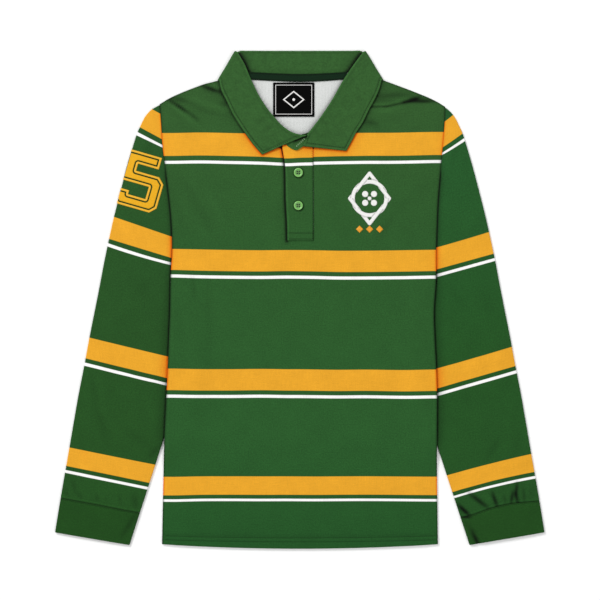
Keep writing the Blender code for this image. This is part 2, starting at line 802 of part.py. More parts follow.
def build():
    for old in list(bpy.data.objects):
        bpy.data.objects.remove(old, do_unlink=True)
    for name in (COLLECTION, "Cutters"):
        made = bpy.data.collections.get(name) or bpy.data.collections.new(name)
        if name not in bpy.context.scene.collection.children:
            bpy.context.scene.collection.children.link(made)
    bpy.data.collections["Cutters"].hide_render = True

    green = material("Green jersey", (0.028, 0.102, 0.026), 0.85)
    dark_green = material("Dark green rib", (0.02, 0.068, 0.018), 0.85)
    collar_green = material("Green twill", (0.036, 0.112, 0.03), 0.8)
    tape_green = material("Bottle green tape", (0.009, 0.025, 0.011), 0.8)
    black = material("Black woven label", (0.004, 0.004, 0.004), 0.7)
    bright = material("Bright green resin", (0.2, 0.52, 0.13), 0.35)

    add_wall("back_panel", body_rows("back"), CLOTH, green)
    add_wall("front_panel", body_rows("front"), CLOTH, green)
    for side in ("left", "right"):
        add_wall("sleeve_" + side, sleeve_rows(side), CLOTH, green, offset=-1, even=False)
        add_wall("cuff_" + side, cuff_rows(side), CUFF, dark_green, offset=-1, even=False)
    sections = collar_sections()
    leaf = [leaf_row(section) for section in sections]
    stand = [tab_row(k) for k in range(4)] + [stand_row(section) for section in sections]
    add_wall("collar_leaf", leaf, LEAF, collar_green, offset=0, even=False)
    add_wall("collar_stand", stand, STAND, collar_green, offset=0, even=False)
    add_wall("placket_upper", upper_placket_rows(), TRIM, green)
    add_wall("placket_under", under_placket_rows(), TRIM, green)
    add_wall("neck_tape", tape_rows(), TRIM, tape_green)
    add_wall("neck_label", label_rows(), TRIM, black)
    for name, y in BUTTON_YS.items():
        add_button(name, y, bright)


build()
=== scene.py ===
# %% [markdown]
# # A long-sleeve rugby polo, laid flat
# The real shirt is cut from brushed jersey, sewn, pressed and laid on its back on a table. The packed
# model already holds every sewn piece as a plain wall of cloth, and it is loaded first as a fixed frame.
# Each wall is then replaced by a finer shell on the same shape, because cloth shows its creases, its
# rolled edges and its rows of stitches only on a fine mesh. Sizes are in millimetres until the last
# moment, because that is how a pattern cutter measures.

# %% Load the frame
import math

import bmesh
import bpy
import numpy as np
from mathutils import Matrix, Vector
from mathutils.bvhtree import BVHTree


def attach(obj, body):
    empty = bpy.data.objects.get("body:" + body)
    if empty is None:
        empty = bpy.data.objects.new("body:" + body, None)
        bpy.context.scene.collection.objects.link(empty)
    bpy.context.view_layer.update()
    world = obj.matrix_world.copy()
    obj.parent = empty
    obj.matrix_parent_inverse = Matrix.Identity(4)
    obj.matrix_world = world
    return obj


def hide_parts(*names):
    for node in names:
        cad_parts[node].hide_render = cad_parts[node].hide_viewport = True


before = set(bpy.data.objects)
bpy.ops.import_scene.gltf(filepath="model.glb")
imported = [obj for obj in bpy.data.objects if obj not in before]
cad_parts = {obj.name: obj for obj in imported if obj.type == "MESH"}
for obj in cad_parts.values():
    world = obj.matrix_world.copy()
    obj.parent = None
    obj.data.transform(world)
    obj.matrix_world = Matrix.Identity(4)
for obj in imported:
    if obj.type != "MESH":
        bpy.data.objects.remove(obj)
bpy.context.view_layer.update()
MM = 0.001

# %% [markdown]
# ## Reading a pattern
# A pattern cutter draws a smooth line through a few marks. Here a short table of marks is read the same
# way, with a cubic between neighbours. Everything takes whole arrays of points, so that a panel of
# twenty thousand points is worked out in one go and the script stays quick.

# %% Smooth curves through a few marks
def smooth(t):
    t = np.clip(t, 0.0, 1.0)
    return t * t * (3 - 2 * t)


def mix(a, b, share):
    return a + (b - a) * share


def bell(gap, reach):
    """1 where the gap is zero, and less with distance."""
    return np.exp(-((gap / reach) ** 2))


def xy(x, y):
    return np.stack([x, y], -1)


def read_curve(keys, column, value):
    """The column's value, on a smooth curve through the marks, where the key has this value."""
    keys, column = np.asarray(keys, float), np.asarray(column, float)
    if keys[0] > keys[-1]:
        keys, column = keys[::-1], column[::-1]
    slopes = np.gradient(column, keys)
    value = np.clip(value, keys[0], keys[-1])
    k = np.clip(np.searchsorted(keys, value) - 1, 0, len(keys) - 2)
    span = keys[k + 1] - keys[k]
    t = (value - keys[k]) / span
    return (
        column[k] * (1 + 2 * t) * (1 - t) ** 2
        + column[k + 1] * t * t * (3 - 2 * t)
        + slopes[k] * span * t * (1 - t) ** 2
        - slopes[k + 1] * span * t * t * (1 - t)
    )


class Table:
    """Rows of marks under named columns, read on the first of them."""

    def __init__(self, names, rows):
        self.columns = dict(zip(names.split(), np.array(rows, float).T))
        self.keys = self.columns[names.split()[0]]

    def at(self, name, value):
        return read_curve(self.keys, self.columns[name], value)


class Line:
    """A smooth line through a few points, read by the share of its length."""

    def __init__(self, points):
        self.points = np.array(points, float)
        steps = np.linalg.norm(np.diff(self.points, axis=0), axis=1)
        self.length = np.concatenate([[0.0], np.cumsum(steps)])
        self.share = self.length / self.length[-1]

    def at(self, share):
        return np.stack([read_curve(self.share, self.points[:, k], share) for k in (0, 1)], -1)


# %% Distances on the pattern
def gap_and_share(points, start, end):
    """Each point's distance from a straight stretch, and how far along the stretch it is."""
    start, run = np.array(start, float), np.array(end, float) - np.array(start, float)
    share = np.clip((points - start) @ run / (run @ run), 0, 1)
    return np.linalg.norm(start + share[..., None] * run - points, axis=-1), share


def distance_to_line(points, corners):
    return np.min([gap_and_share(points, a, b)[0] for a, b in zip(corners, corners[1:])], axis=0)


def depth_inside(points, corners):
    """How far each point lies inside a polygon, and below zero outside it."""
    closed = list(corners) + list(corners[:1])
    crossings = np.zeros(points.shape[:-1], int)
    for (ax, ay), (bx, by) in zip(closed, closed[1:]):
        spans = (ay > points[..., 1]) != (by > points[..., 1])
        at = ax + (points[..., 1] - ay) / (1e-9 if by == ay else by - ay) * (bx - ax)
        crossings += spans & (points[..., 0] < at)
    return distance_to_line(points, closed) * np.where(crossings % 2 == 1, 1, -1)


def distance_outside(points, corners):
    return np.maximum(0.0, -depth_inside(points, corners))


# %% [markdown]
# ## The shirt's pattern
# These are the outlines of the sewn pieces, in millimetres from the middle of the floor that the shirt
# covers, with the collar towards +Y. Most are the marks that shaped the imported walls. A few were measured
# again, so at a seam, a sleeve's tip or the placket a shell lies up to 4 mm beside its wall.

# %% The outlines
CLOTH, LEAF, STAND, CUFF, TRIM = 1.2, 1.5, 1.3, 1.5, 1.0
SEAM, ARMHOLE_GAP, NECK_GAP = 0.35, 0.15, 2.2
HEM_Y, HEM_SAG, SLIT_Y, UNDERARM_Y, TIP_Y = -367.0, 6.6, 98.0, 56.0, 290.0
SLEEVE_LEAVES_BODY_Y, TUCK_TOP_Y = -213.0, 20.0

SIDES = Table(
    "y left right",
    [
        (290, -210.0, 218.0), (266, -208.0, 217.0), (234, -206.0, 214.5), (186, -200.0, 210.0),
        (150, -195.6, 207.0), (118, -192.5, 205.5), (76, -191.4, 204.4), (34, -193.2, 203.9),
        (-24, -194.4, 200.6), (-52, -195.6, 201.5), (-100, -197.4, 203.9), (-138, -199.2, 205.2),
        (-211, -202.8, 205.1), (-293, -204.9, 206.0), (-367, -206.4, 206.9),
    ],
)
SHOULDERS = {
    "left": Line([(-210, 292.2), (-197, 300.2), (-179, 308.7), (-161, 315.8), (-143, 322.2),
                  (-122.5, 327.6), (-98, 339)]),
    "right": Line([(218, 288.3), (208, 294.6), (199, 299.3), (172, 310.6), (145, 320.6), (124, 328.3),
                   (97, 339)]),
}
NECK_FRONT = {
    "left": Line([(-98, 339), (-97, 318), (-88, 292), (-74, 268), (-56, 249), (-40, 238.5), (-27, 232.5),
                  (-17.5, 229)]),
    "right": Line([(97, 339), (96, 318), (86, 290), (71, 264), (52, 243), (36, 232), (20.4, 228)]),
}
NECK_BACK = {
    "left": Line([(-98, 339), (-77, 339.4), (-17.5, 337.2)]),
    "right": Line([(97, 339), (71, 339.4), (20.4, 337.2)]),
}
SLIT_EDGES = Table(
    "y left placket right",
    [
        (231, -17.5, -27.2, 20.4), (224, -17.2, -26.2, 20.4), (209, -16.8, -23.7, 20.4),
        (198, -16.6, -22.4, 20.4), (176, -16.4, -21.9, 20.5), (147, -16.2, -21.5, 20.7),
        (114, -15.4, -19.7, 20.8), (98, -15.0, -19.4, 20.5), (88, -15.0, -19.3, 20.5),
    ],
)

# %% The collar's outlines
CREASE = {
    "left": Line([(10.9, 245.2), (1.0, 246.2), (-10.7, 249.5), (-22.7, 257), (-39.2, 274), (-57, 298),
                  (-72.2, 327.6), (-83.7, 354), (-93.5, 370.2)]),
    "right": Line([(10.4, 245.5), (13.5, 250), (20, 258.3), (33.3, 276), (49, 300), (64, 326.4),
                   (86, 358.6), (94.9, 370.2)]),
}
LEAF_EDGE = {
    "left": Line([(-56.3, 216.5), (-70, 232), (-83.3, 250.5), (-101, 278), (-107.8, 293),
                  (-111.2, 300), (-115, 307), (-117.8, 313.5), (-119.6, 320.0), (-120.6, 327.0)]),
    "right": Line([(69.6, 222.2), (76.2, 234), (85, 250.5), (93.8, 263.7), (105, 286.5),
                   (108.0, 291.5), (115, 305), (120, 317.5), (122.4, 327.5)]),
}
LEAF_KNEE, KNEE_SHARE, KNEE_REACH = {"left": (-10.5, 236.8), "right": (2.6, 229.4)}, 0.2, 0.28
BACK_CREASE = Line([(-93.5, 370.2), (-90, 372.1), (-80, 372.4), (-60, 372.4), (60, 372.4), (80, 372.4),
                    (91.5, 372.1), (94.9, 370.2)])
FALL_EDGE = Line([(-120.4, 327.0), (-112, 321), (-92, 319), (92, 319), (112, 321), (122.2, 327.5)])
BACK_NECK = Line([(-98, 339), (-77, 339.4), (-17.5, 337.2), (20.4, 337.2), (71, 339.4), (97, 339)])
LEAF_Z, STAND_Z, LEAF_LEAD = {"front": 7.7, "back": 0.75}, {"front": 5.5, "back": 2.95}, 3.4
LEAF_OVER_FRONT, LEAF_OVER_PLACKET = 0.45, 1.45
TAB = Table(
    "row upper_x upper_y lower_x lower_y",
    [(0, 14.2, 250.2, 7.5, 230.6), (1, 8.6, 248.3, 1.0, 226.0), (2, 3.6, 246.9, -5.3, 223.0),
     (3, -2.4, 244.6, -14.5, 226.2)],
)
TAB_Z = {"upper": 5.6, "lower": 6.2}
PLACKET_TOP = Table("x y", [(-28.8, 231.8), (-22, 231.6), (-17.5, 231.0), (-12, 229.8), (-5.3, 227.6),
                            (1, 229.0), (7.5, 231.2), (20.4, 230.0)])
PLACKET_FOOT_Y, UNDER_PLACKET_TOP_Y, UNDER_PLACKET_RIGHT = 88.0, 222.0, 14.0

# %% The sleeves', the label's and the tape's outlines
SLEEVE = Table(
    "station outer_x outer_y inner_y",
    [
        (0, 212.0, 290.5, 56.0), (0.5, 216.3, 288.4, 55.0), (1, 221.5, 285.0, 54.0),
        (2, 231.5, 274.2, 51.0), (3, 238.8, 260.0, 47.5),
        (4, 244.2, 248.0, 43.5), (5, 250.8, 227.0, 38.0), (6, 259.0, 199.0, 31.0), (7, 267.5, 167.0, 22.0),
        (8, 277.7, 127.0, 9.0), (9, 285.4, 93.0, -8.0), (10, 293.2, 56.0, -31.0), (11, 300.0, 20.0, -57.0),
        (12, 307.5, -18.0, -86.0), (13, 315.5, -58.0, -118.0), (14, 323.2, -100.0, -151.0),
        (15, 331.5, -142.0, -184.0), (16, 338.5, -182.0, -214.0), (17, 345.3, -222.0, -246.0),
        (18, 351.6, -258.0, -278.0), (19, 357.2, -290.0, -312.0), (20, 358.6, -298.5, -323.0),
    ],
)
TUCK = Table(
    "y depth",
    [(56, -0.15), (34, -0.15), (20, -0.15), (12, 3.0), (-4, 11.5), (-24, 19.5), (-52, 26.5), (-86, 29.0),
     (-118, 24.5), (-151, 15.5), (-184, 7.0), (-213, -0.7)],
)
SLEEVE_HEIGHT, SLEEVE_PUFF, CUFF_HEIGHT = 3.4, 1.3, 3.8
CUFF_END = {"outer": (366.9, -349.1), "inner": (255.2, -368.2)}
LABEL_BOX = {"x": (-40.0, 21.8), "y": (273.6, 324.6)}
TAPE = Table("x top foot", [(-77, 340.4, 328.8), (-40, 338.6, 326.9), (0, 337.4, 325.5),
                            (40, 338.6, 327.0), (71, 340.4, 329.4)])
BUTTON_X, BUTTON_YS = -2.2, {"button_upper": 190.5, "button_lower": 141.1}
print("body width at the hem:", SIDES.at("right", HEM_Y) - SIDES.at("left", HEM_Y), "mm")

# %% [markdown]
# ## How high the cloth lies
# The back lies on the table, lifted a little by the collar under the neck and by the sleeves that are
# tucked under the sides. The front lies on the back with some air between them, and none at the seams.
# Each fold and crease is a straight stretch with a width and a height: a ridge where the
# height is above zero, and a trough where it is below.

# %% What lifts the body
COLLAR_RISE, COLLAR_SLOPE, TUCK_RISE, TUCK_SLOPE = 1.85, 60.0, 4.3, 45.0
AIR, ARMHOLE_AIR, AIR_REACH, HEM_EASE = 1.6, 0.7, 45.0, 22.0
SIDE_NAMES = ("left", "right")


def sign(side):
    return -1 if side == "left" else 1


def side_x(side, y):
    return SIDES.at(side, y)


def nearest_side_x(points):
    left, right = side_x("left", points[..., 1]), side_x("right", points[..., 1])
    return np.where(points[..., 0] < 0, left, right)


# %% The sleeves' inner edges
INNER_LEAN = {"left": (1.6, 0.0), "right": (-2.0, -0.8)}


def sleeve_inner(side, y):
    """The sleeve's inner edge: just outside the body's side, then under it, then straight to the cuff.
    Each side leans a little its own way where it comes out from under the body."""
    upper_lean, lower_lean = INNER_LEAN[side]
    beside = np.abs(side_x(side, y)) - TUCK.at("depth", y) + upper_lean * smooth((-184 - y) / 29)
    top = abs(side_x(side, SLEEVE_LEAVES_BODY_Y)) + SEAM * 2 + upper_lean
    end = (CUFF_END["inner"][0] + lower_lean, CUFF_END["inner"][1])
    share = (SLEEVE_LEAVES_BODY_Y - y) / (SLEEVE_LEAVES_BODY_Y - end[1])
    return sign(side) * np.where(y >= SLEEVE_LEAVES_BODY_Y, beside, mix(top, end[0], share))


def tucked(side):
    """The patch of sleeve that lies under the body's side."""
    ys = [y for y in TUCK.columns["y"] if y <= TUCK_TOP_Y]
    inner = [(float(sleeve_inner(side, y)), y) for y in ys]
    return inner + [(float(side_x(side, y)) + sign(side) * 20, y) for y in reversed(ys)]


TUCKED = {side: tucked(side) for side in SIDE_NAMES}
UNDER_FALL = [(-124, 333), (-98, 376), (98, 376), (126, 333), (92, 317), (46, 315), (-46, 315), (-90, 317)]


def rise(points):
    """How far the body's back is lifted off the floor by what lies under it."""
    collar = COLLAR_RISE * (1 - smooth((distance_outside(points, UNDER_FALL) - 2) / COLLAR_SLOPE))
    tuck = [TUCK_RISE * (1 - smooth((distance_outside(points, TUCKED[side]) - 4) / TUCK_SLOPE))
            for side in SIDE_NAMES]
    return np.maximum(collar, np.where(points[..., 0] < 0, *tuck))


def edge_of_body(points):
    """Each point's distance from the nearer side or shoulder seam."""
    inside = np.abs(nearest_side_x(points)) - np.abs(points[..., 0])
    shoulders = [distance_to_line(points, SHOULDERS[side].points) for side in SIDE_NAMES]
    return np.maximum(np.minimum(np.where(points[..., 0] < 0, *shoulders), inside), 0)


def air(points):
    """The front's height above the back: closed at the seams, open along the armholes, loose inside."""
    edge = np.minimum(edge_of_body(points), points[..., 1] - HEM_Y + HEM_EASE)
    span = (points[..., 1] - UNDERARM_Y) / (TIP_Y - UNDERARM_Y)
    armhole = ARMHOLE_AIR * smooth(4 * span) * smooth(4 * (1 - span))
    loose = smooth(edge / AIR_REACH)
    return SEAM + AIR * loose + armhole * (1 - loose)


# %% Folds and creases
# Each row: where it starts, where it ends, its half width, its height, and its painted shade: darker in a
# trough, and a painted highlight where it is below zero.
FOLDS = [
    ((-196, 292), (-146, 252), 15, 1.5, 0),
    ((-121, 316), (-176, 284), 14, 1.1, 0),
    ((119, 306), (200, 290), 15, 1.5, 0),
    ((150, 262), (196, 206), 17, 0.9, 0),
    ((-28, 88), (-52, 22), 16, 0.9, 0),
    ((-186, 66), (-120, 18), 18, 1.0, 0),
    ((188, 62), (118, 4), 18, 1.0, 0),
]
CREASES = [
    ((108, 310), (210, 302), 14.0, 0.0, 0.11),
    ((-200, 298), (-120, 314), 13.0, 0.0, 0.07),
    ((-199, 301), (-166, 278), 2.5, -1.0, 0.82),
    ((-182, 290), (-148, 265), 2.6, -0.9, 0.46),
    ((-164, 281), (-143, 255), 3.2, -0.6, 0.20),
    ((-196, 293), (-158, 265), 4.0, 0.6, -0.16),
    ((-168, 274), (-138, 250), 4.5, 0.6, -0.14),
    ((-197, 303), (-166, 296), 3.6, -0.7, 0.34),
    ((-182, 299), (-148, 291), 4.0, -0.5, 0.20),
    ((-166, 292), (-138, 281), 4.5, -0.5, 0.14),
    ((-172, 301), (-128, 290), 5.0, 0.6, -0.14),
    ((-140, 292), (-98, 281), 4.5, 0.6, -0.14),
    ((-150, 283), (-106, 273), 4.0, -0.4, 0.14),
    ((-194, 287), (-172, 266), 3.6, -0.4, 0.15),
    ((-149, 321), (-116, 309), 2.6, -1.0, 0.90),
    ((-142, 314), (-118, 308), 4.0, -0.5, 0.25),
    ((-132, 322), (-116, 313), 2.4, 0.5, -0.22),
    ((-121, 313), (-105, 292), 2.4, -0.6, 0.45),
    ((-119, 294), (-106, 289), 4.0, -0.5, 0.32),
    ((-203, 290), (-200, 252), 3.5, 0.4, -0.08),
    ((104, 288), (138, 289), 1.8, -0.9, 0.50),
    ((126, 288), (163, 296), 1.9, -1.0, 0.66),
    ((108, 291.5), (140, 293), 1.6, 0.4, -0.24),
    ((132, 292), (174, 305), 1.6, 0.4, -0.22),
    ((154, 294), (186, 305), 3.2, -0.9, 0.72),
    ((156, 295.5), (212, 296.5), 2.6, -1.0, 0.62),
    ((166, 300), (206, 298), 3.4, -0.6, 0.42),
    ((112, 303), (172, 308), 4.0, -0.6, 0.32),
    ((108, 297), (146, 297), 3.4, -0.4, 0.16),
    ((106, 281), (158, 285), 4.5, 0.5, -0.14),
    ((96, 266), (120, 263), 4.5, -0.5, 0.36),
    ((110, 260), (124, 256), 5.0, -0.4, 0.14),
    ((126, 270), (172, 266), 6.0, -0.3, 0.06),
    ((150, 256), (196, 254), 3.0, -0.3, 0.06),
    ((-182, 188), (-156, 148), 6.5, -0.6, 0.09),
    ((-160, 150), (-116, 78), 8.0, -0.8, 0.10),
    ((-138, 160), (-100, 92), 6.5, 0.5, -0.05),
    ((-186, 146), (-168, 92), 6.0, -0.4, 0.08),
    ((-150, 120), (-136, 84), 7.0, 0.5, -0.04),
    ((-24, 150), (-30, 96), 6.0, -0.4, 0.04),
    ((190, 166), (142, 126), 8.0, -0.5, 0.05),
    ((143, 127), (110, 80), 6.0, -0.7, 0.10),
    ((50, 150), (66, 96), 8.0, -0.4, 0.04),
    ((-160, 34), (-157, -4), 3.5, -0.5, 0.14),
    ((-138, 34), (-133, -100), 6.0, -0.45, 0.06),
    ((-120, 20), (-112, -60), 9.0, 0.4, -0.03),
    ((-180, -10), (-176, -110), 8.0, -0.35, 0.05),
    ((150, 20), (162, -90), 10.0, -0.35, 0.03),
    ((-150, -160), (-138, -260), 10.0, -0.4, 0.03),
    ((30, -170), (44, -252), 12.0, -0.35, 0.03),
    ((130, -180), (118, -255), 10.0, -0.35, 0.03),
    ((60, 10), (40, -92), 14.0, 0.4, -0.02),
]

# %% The back's ridges, and the body's heights
# Creases of the back lift it off the table, and the front with it, so they are ridges alone.
BACK_RIDGES = [
    ((-150, 240), (-60, 190), 12, 0.7, 0),
    ((150, 236), (70, 180), 11, 0.6, 0),
    ((-120, 40), (-40, -30), 14, 0.6, 0),
    ((110, 20), (30, -70), 13, 0.7, 0),
    ((-160, -190), (-90, -290), 12, 0.6, 0),
    ((150, -180), (96, -300), 13, 0.5, 0),
]


def ridge(points, start, end, width, height, lead=0.15):
    gap, share = gap_and_share(points, start, end)
    return height * bell(gap, width) * np.sin(np.pi * mix(lead, 1, share))


def height_of(points, rows):
    return sum(ridge(points, start, end, width, height) for start, end, width, height, dark in rows)


# The painted shade of a list of crease rows, read from each row's last column.
def painted_shade_of(points, rows):
    return sum(ridge(points, start, end, width, dark) for start, end, width, height, dark in rows)


def back_under(points):
    return rise(points) + height_of(points, BACK_RIDGES) * smooth(edge_of_body(points) / 30)


def front_under(points):
    lift = air(points)
    slack = smooth((lift - SEAM) / 0.6)
    shaped = height_of(points, FOLDS) + height_of(points, CREASES)
    closed = (SEAM - 0.05) * (1 - smooth(edge_of_body(points) / 3.5))
    return back_under(points) + CLOTH + lift - closed + shaped * slack


# %% [markdown]
# ## One way to make a shell
# A grid is created and its points are moved onto the worked-out places, so Blender makes the faces. The
# Solidify modifier then gives the cloth its thickness, and a narrow Bevel rounds the cut edges, because
# a fold of real cloth never ends in a knife edge. The UV map "cloth" carries each point's place on the
# flat fabric in metres: the knit, the stripes and the seams are drawn there, so they follow the cloth.
# The attribute "tone" is 1 on open cloth and less in creases and beside seams, where less light reaches
# the bottom of the pile than the mesh alone can show.

# %% Grid, wall and finish
WELD, SHARP = 1e-6, math.radians(60)


def as_mesh(name, bm):
    mesh = bpy.data.meshes.new(name)
    bm.to_mesh(mesh)
    bm.free()
    mesh.shade_smooth()
    return mesh


def cloth_mesh(name, points, flat=None, tone=None):
    """A mesh of quads through an array of points. Cells that touch a missing point are left out."""
    high, wide = points.shape[:2]
    flat = points[..., :2] if flat is None else flat
    tones = (np.ones((high, wide)) if tone is None else tone).ravel()
    bm = bmesh.new()
    # The attribute "tone" holds the painted shade at each point: below 1 in shade, above 1 on a painted
    # highlight.
    depth = bm.verts.layers.float.new("tone")
    bmesh.ops.create_grid(bm, x_segments=wide - 1, y_segments=high - 1, size=1)
    rows, places = points.reshape(-1, 3) * MM, flat.reshape(-1, 2) * MM
    missing = []
    for vert in bm.verts:
        vert[depth] = tones[vert.index]
        if np.isnan(rows[vert.index]).any():
            missing.append(vert)
        else:
            vert.co = rows[vert.index]
    layer = bm.loops.layers.uv.new("cloth")
    for face in bm.faces:
        for loop in face.loops:
            loop[layer].uv = places[loop.vert.index]
    gone = {face for vert in missing for face in vert.link_faces}
    bmesh.ops.delete(bm, geom=list(gone), context="FACES")
    bmesh.ops.remove_doubles(bm, verts=bm.verts, dist=WELD)
    return as_mesh(name, bm)


# %% A piece, and a shell of cloth
def add_piece(name, mesh, replaced=(), finishes=()):
    piece = bpy.data.objects.new(name, mesh)
    bpy.context.scene.collection.objects.link(piece)
    for finish in finishes:
        piece.data.materials.append(finish)
    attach(piece, "root")
    if replaced:
        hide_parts(*replaced)
    print(name, "faces, before any wall:", len(mesh.polygons))
    return piece


def add_shell(name, points, thickness, replaced, finishes, flat=None, tone=None, offset=1.0,
              round_off=0.5):
    """A wall of cloth. The first finish is the side that shows from above or outside."""
    piece = add_piece(name, cloth_mesh(name, points, flat, tone), replaced, finishes)
    wall = piece.modifiers.new("Wall", "SOLIDIFY")
    wall.thickness, wall.offset, wall.use_even_offset = thickness * MM, offset, False
    wall.material_offset = len(finishes) - 1
    if round_off:
        edge = piece.modifiers.new("Rolled edge", "BEVEL")
        edge.width, edge.segments, edge.limit_method = round_off * MM, 2, "ANGLE"
        edge.angle_limit = SHARP
    return piece


# %% [markdown]
# ## Finishes
# Colours are sRGB hex values, and one function turns them to the linear values that a shader needs. One
# small function adds a node with its settings, its values and its links, and gives back an output.

# %% Colours and nodes
def colour(code):
    """Linear red, green, blue and alpha of an sRGB hex value."""
    parts = [int(code[k : k + 2], 16) / 255 for k in (1, 3, 5)]
    return (*[c / 12.92 if c <= 0.04045 else ((c + 0.055) / 1.055) ** 2.4 for c in parts], 1.0)


def fill(node, inputs):
    """Gives a node its inputs, by name or in order: a socket is linked, and any other value is set."""
    for key, value in inputs.items() if isinstance(inputs, dict) else enumerate(inputs):
        if isinstance(value, bpy.types.NodeSocket):
            node.id_data.links.new(value, node.inputs[key])
        else:
            node.inputs[key].default_value = value


def add_node(tree, kind, inputs=(), out=0, **settings):
    """Adds a node with its settings and inputs, and gives back one of its outputs."""
    made = tree.nodes.new("ShaderNode" + kind)
    for key, value in settings.items():
        setattr(made, key, value)
    fill(made, inputs)
    return made.outputs[out]


def new_material(name):
    """A material with only its Principled shader and output, which are returned with its tree."""
    made = bpy.data.materials.new(name)
    made.use_nodes = True
    return made, made.node_tree, made.node_tree.nodes["Principled BSDF"]


def set_ramp(ramp, stops):
    elements = ramp.color_ramp.elements
    while len(elements) > 1:
        elements.remove(elements[-1])
    elements[0].position, elements[0].color = stops[0]
    for position, value in stops[1:]:
        elements.new(position).color = value


# %% Shading a colour
def shade(tree, base, *factors):
    """A colour, from a socket or a hex value, made darker or lighter by one factor after another."""
    base = colour(base)[:3] if isinstance(base, str) else base
    for factor in factors:
        base = add_node(tree, "VectorMath", {0: base, "Scale": factor}, operation="SCALE")
    return base


def mottle(tree, vector, size, low, high):
    """Soft patches of a size in millimetres, as a value between low and high."""
    noise = add_node(tree, "TexNoise", {"Vector": vector, "Scale": 1 / (size * MM), "Detail": 3.0})
    return add_node(tree, "MapRange", [noise, 0.3, 0.7, low, high])


def ridges(tree, along, across, lean, spacing):
    """Threads or stitches as a sine up the cloth, at a spacing in millimetres, slanted by a lean."""
    slid = add_node(tree, "Math", [across, lean, along], operation="MULTIPLY_ADD")
    turns = add_node(tree, "Math", [slid, math.tau / (spacing * MM)], operation="MULTIPLY")
    return add_node(tree, "Math", [turns], operation="SINE")


# %% [markdown]
# ### Striped jersey
# Polyester jersey, knitted on a circular machine and brushed inside, with the stripes knitted in. Up
# close it is columns of small V stitches, 1.9 mm wide and 1.4 mm high. They are drawn from the UV map
# with a folded ramp across each column that bends a sine up the cloth. The stripes are bands with a
# soft edge at set heights on the cloth: broad gold ones, and a thin white one below each.

# %% The striped jersey
STRIPES = Table(
    "gold_top gold_foot white_top white_foot",
    [
        (249.5, 214.8, 207.8, 202.7),
        (74.1, 41.9, 35.7, 30.45),
        (-104.7, -137.0, -143.1, -148.3),
        (-265.05, -292.95, -298.35, -302.7),
    ],
)
# How far each stripe hangs below a straight line, because the pressed cloth is never quite even.
STRIPE_DROP = Table(
    "x first second third fourth",
    [
        (-187, 0.3, -1.8, -1.1, 1.0), (-150, -0.4, -0.8, -0.4, 0.0), (-105, 0.4, 0.0, -0.2, -0.2),
        (-57, 1.6, 0.4, -0.7, 0.0), (-16, 3.4, -0.2, -0.1, -0.1), (0, 2.4, 0.0, -0.1, 0.0),
        (24, 1.7, 0.4, 0.2, 0.1), (53, 0.8, 1.2, 0.6, -0.1), (98, 0.1, 1.3, 0.3, -0.3),
        (150, -0.1, 0.7, 1.0, 0.0), (200, -1.3, -0.1, 0.2, 0.6),
    ],
)
YARN_SPREAD = {"gold": 0.2, "white": 0.35}
CLOTH_LOW, CLOTH_HIGH, BLUR = -400.0, 400.0, 0.35
WALE, COURSE, STITCH_LEAN = 1.9, 1.4, 0.9


# %% Bands and knit
def cloth_share(v):
    return (v - CLOTH_LOW) / (CLOTH_HIGH - CLOTH_LOW)


def bands(tree, height, tops, feet, spread):
    """1 inside the bands between the tops and the feet, and 0 elsewhere, with a soft edge.
    Bright yarn reads wider than it is, so a band is drawn narrower by its spread at each edge."""
    total = None
    for top, foot in zip(tops, feet):
        middle, half = float(top + foot) / 2, float(top - foot) / 2 - spread
        off = add_node(tree, "Math", [height, middle * MM], operation="SUBTRACT")
        away = add_node(tree, "Math", [off], operation="ABSOLUTE")
        band = add_node(tree, "MapRange", [away, (half + BLUR) * MM, (half - BLUR) * MM])
        total = band if total is None else add_node(tree, "Math", [total, band], operation="ADD")
    return total


def knit(tree):
    """The height on the cloth, the relief of the knitted stitches, and the place on the cloth."""
    place = add_node(tree, "UVMap", uv_map="cloth")
    split = add_node(tree, "SeparateXYZ", {"Vector": place}).node.outputs
    fold = add_node(tree, "Math", [split["X"], WALE / 2 * MM], operation="PINGPONG")
    return split["Y"], ridges(tree, split["Y"], fold, STITCH_LEAN, COURSE), place


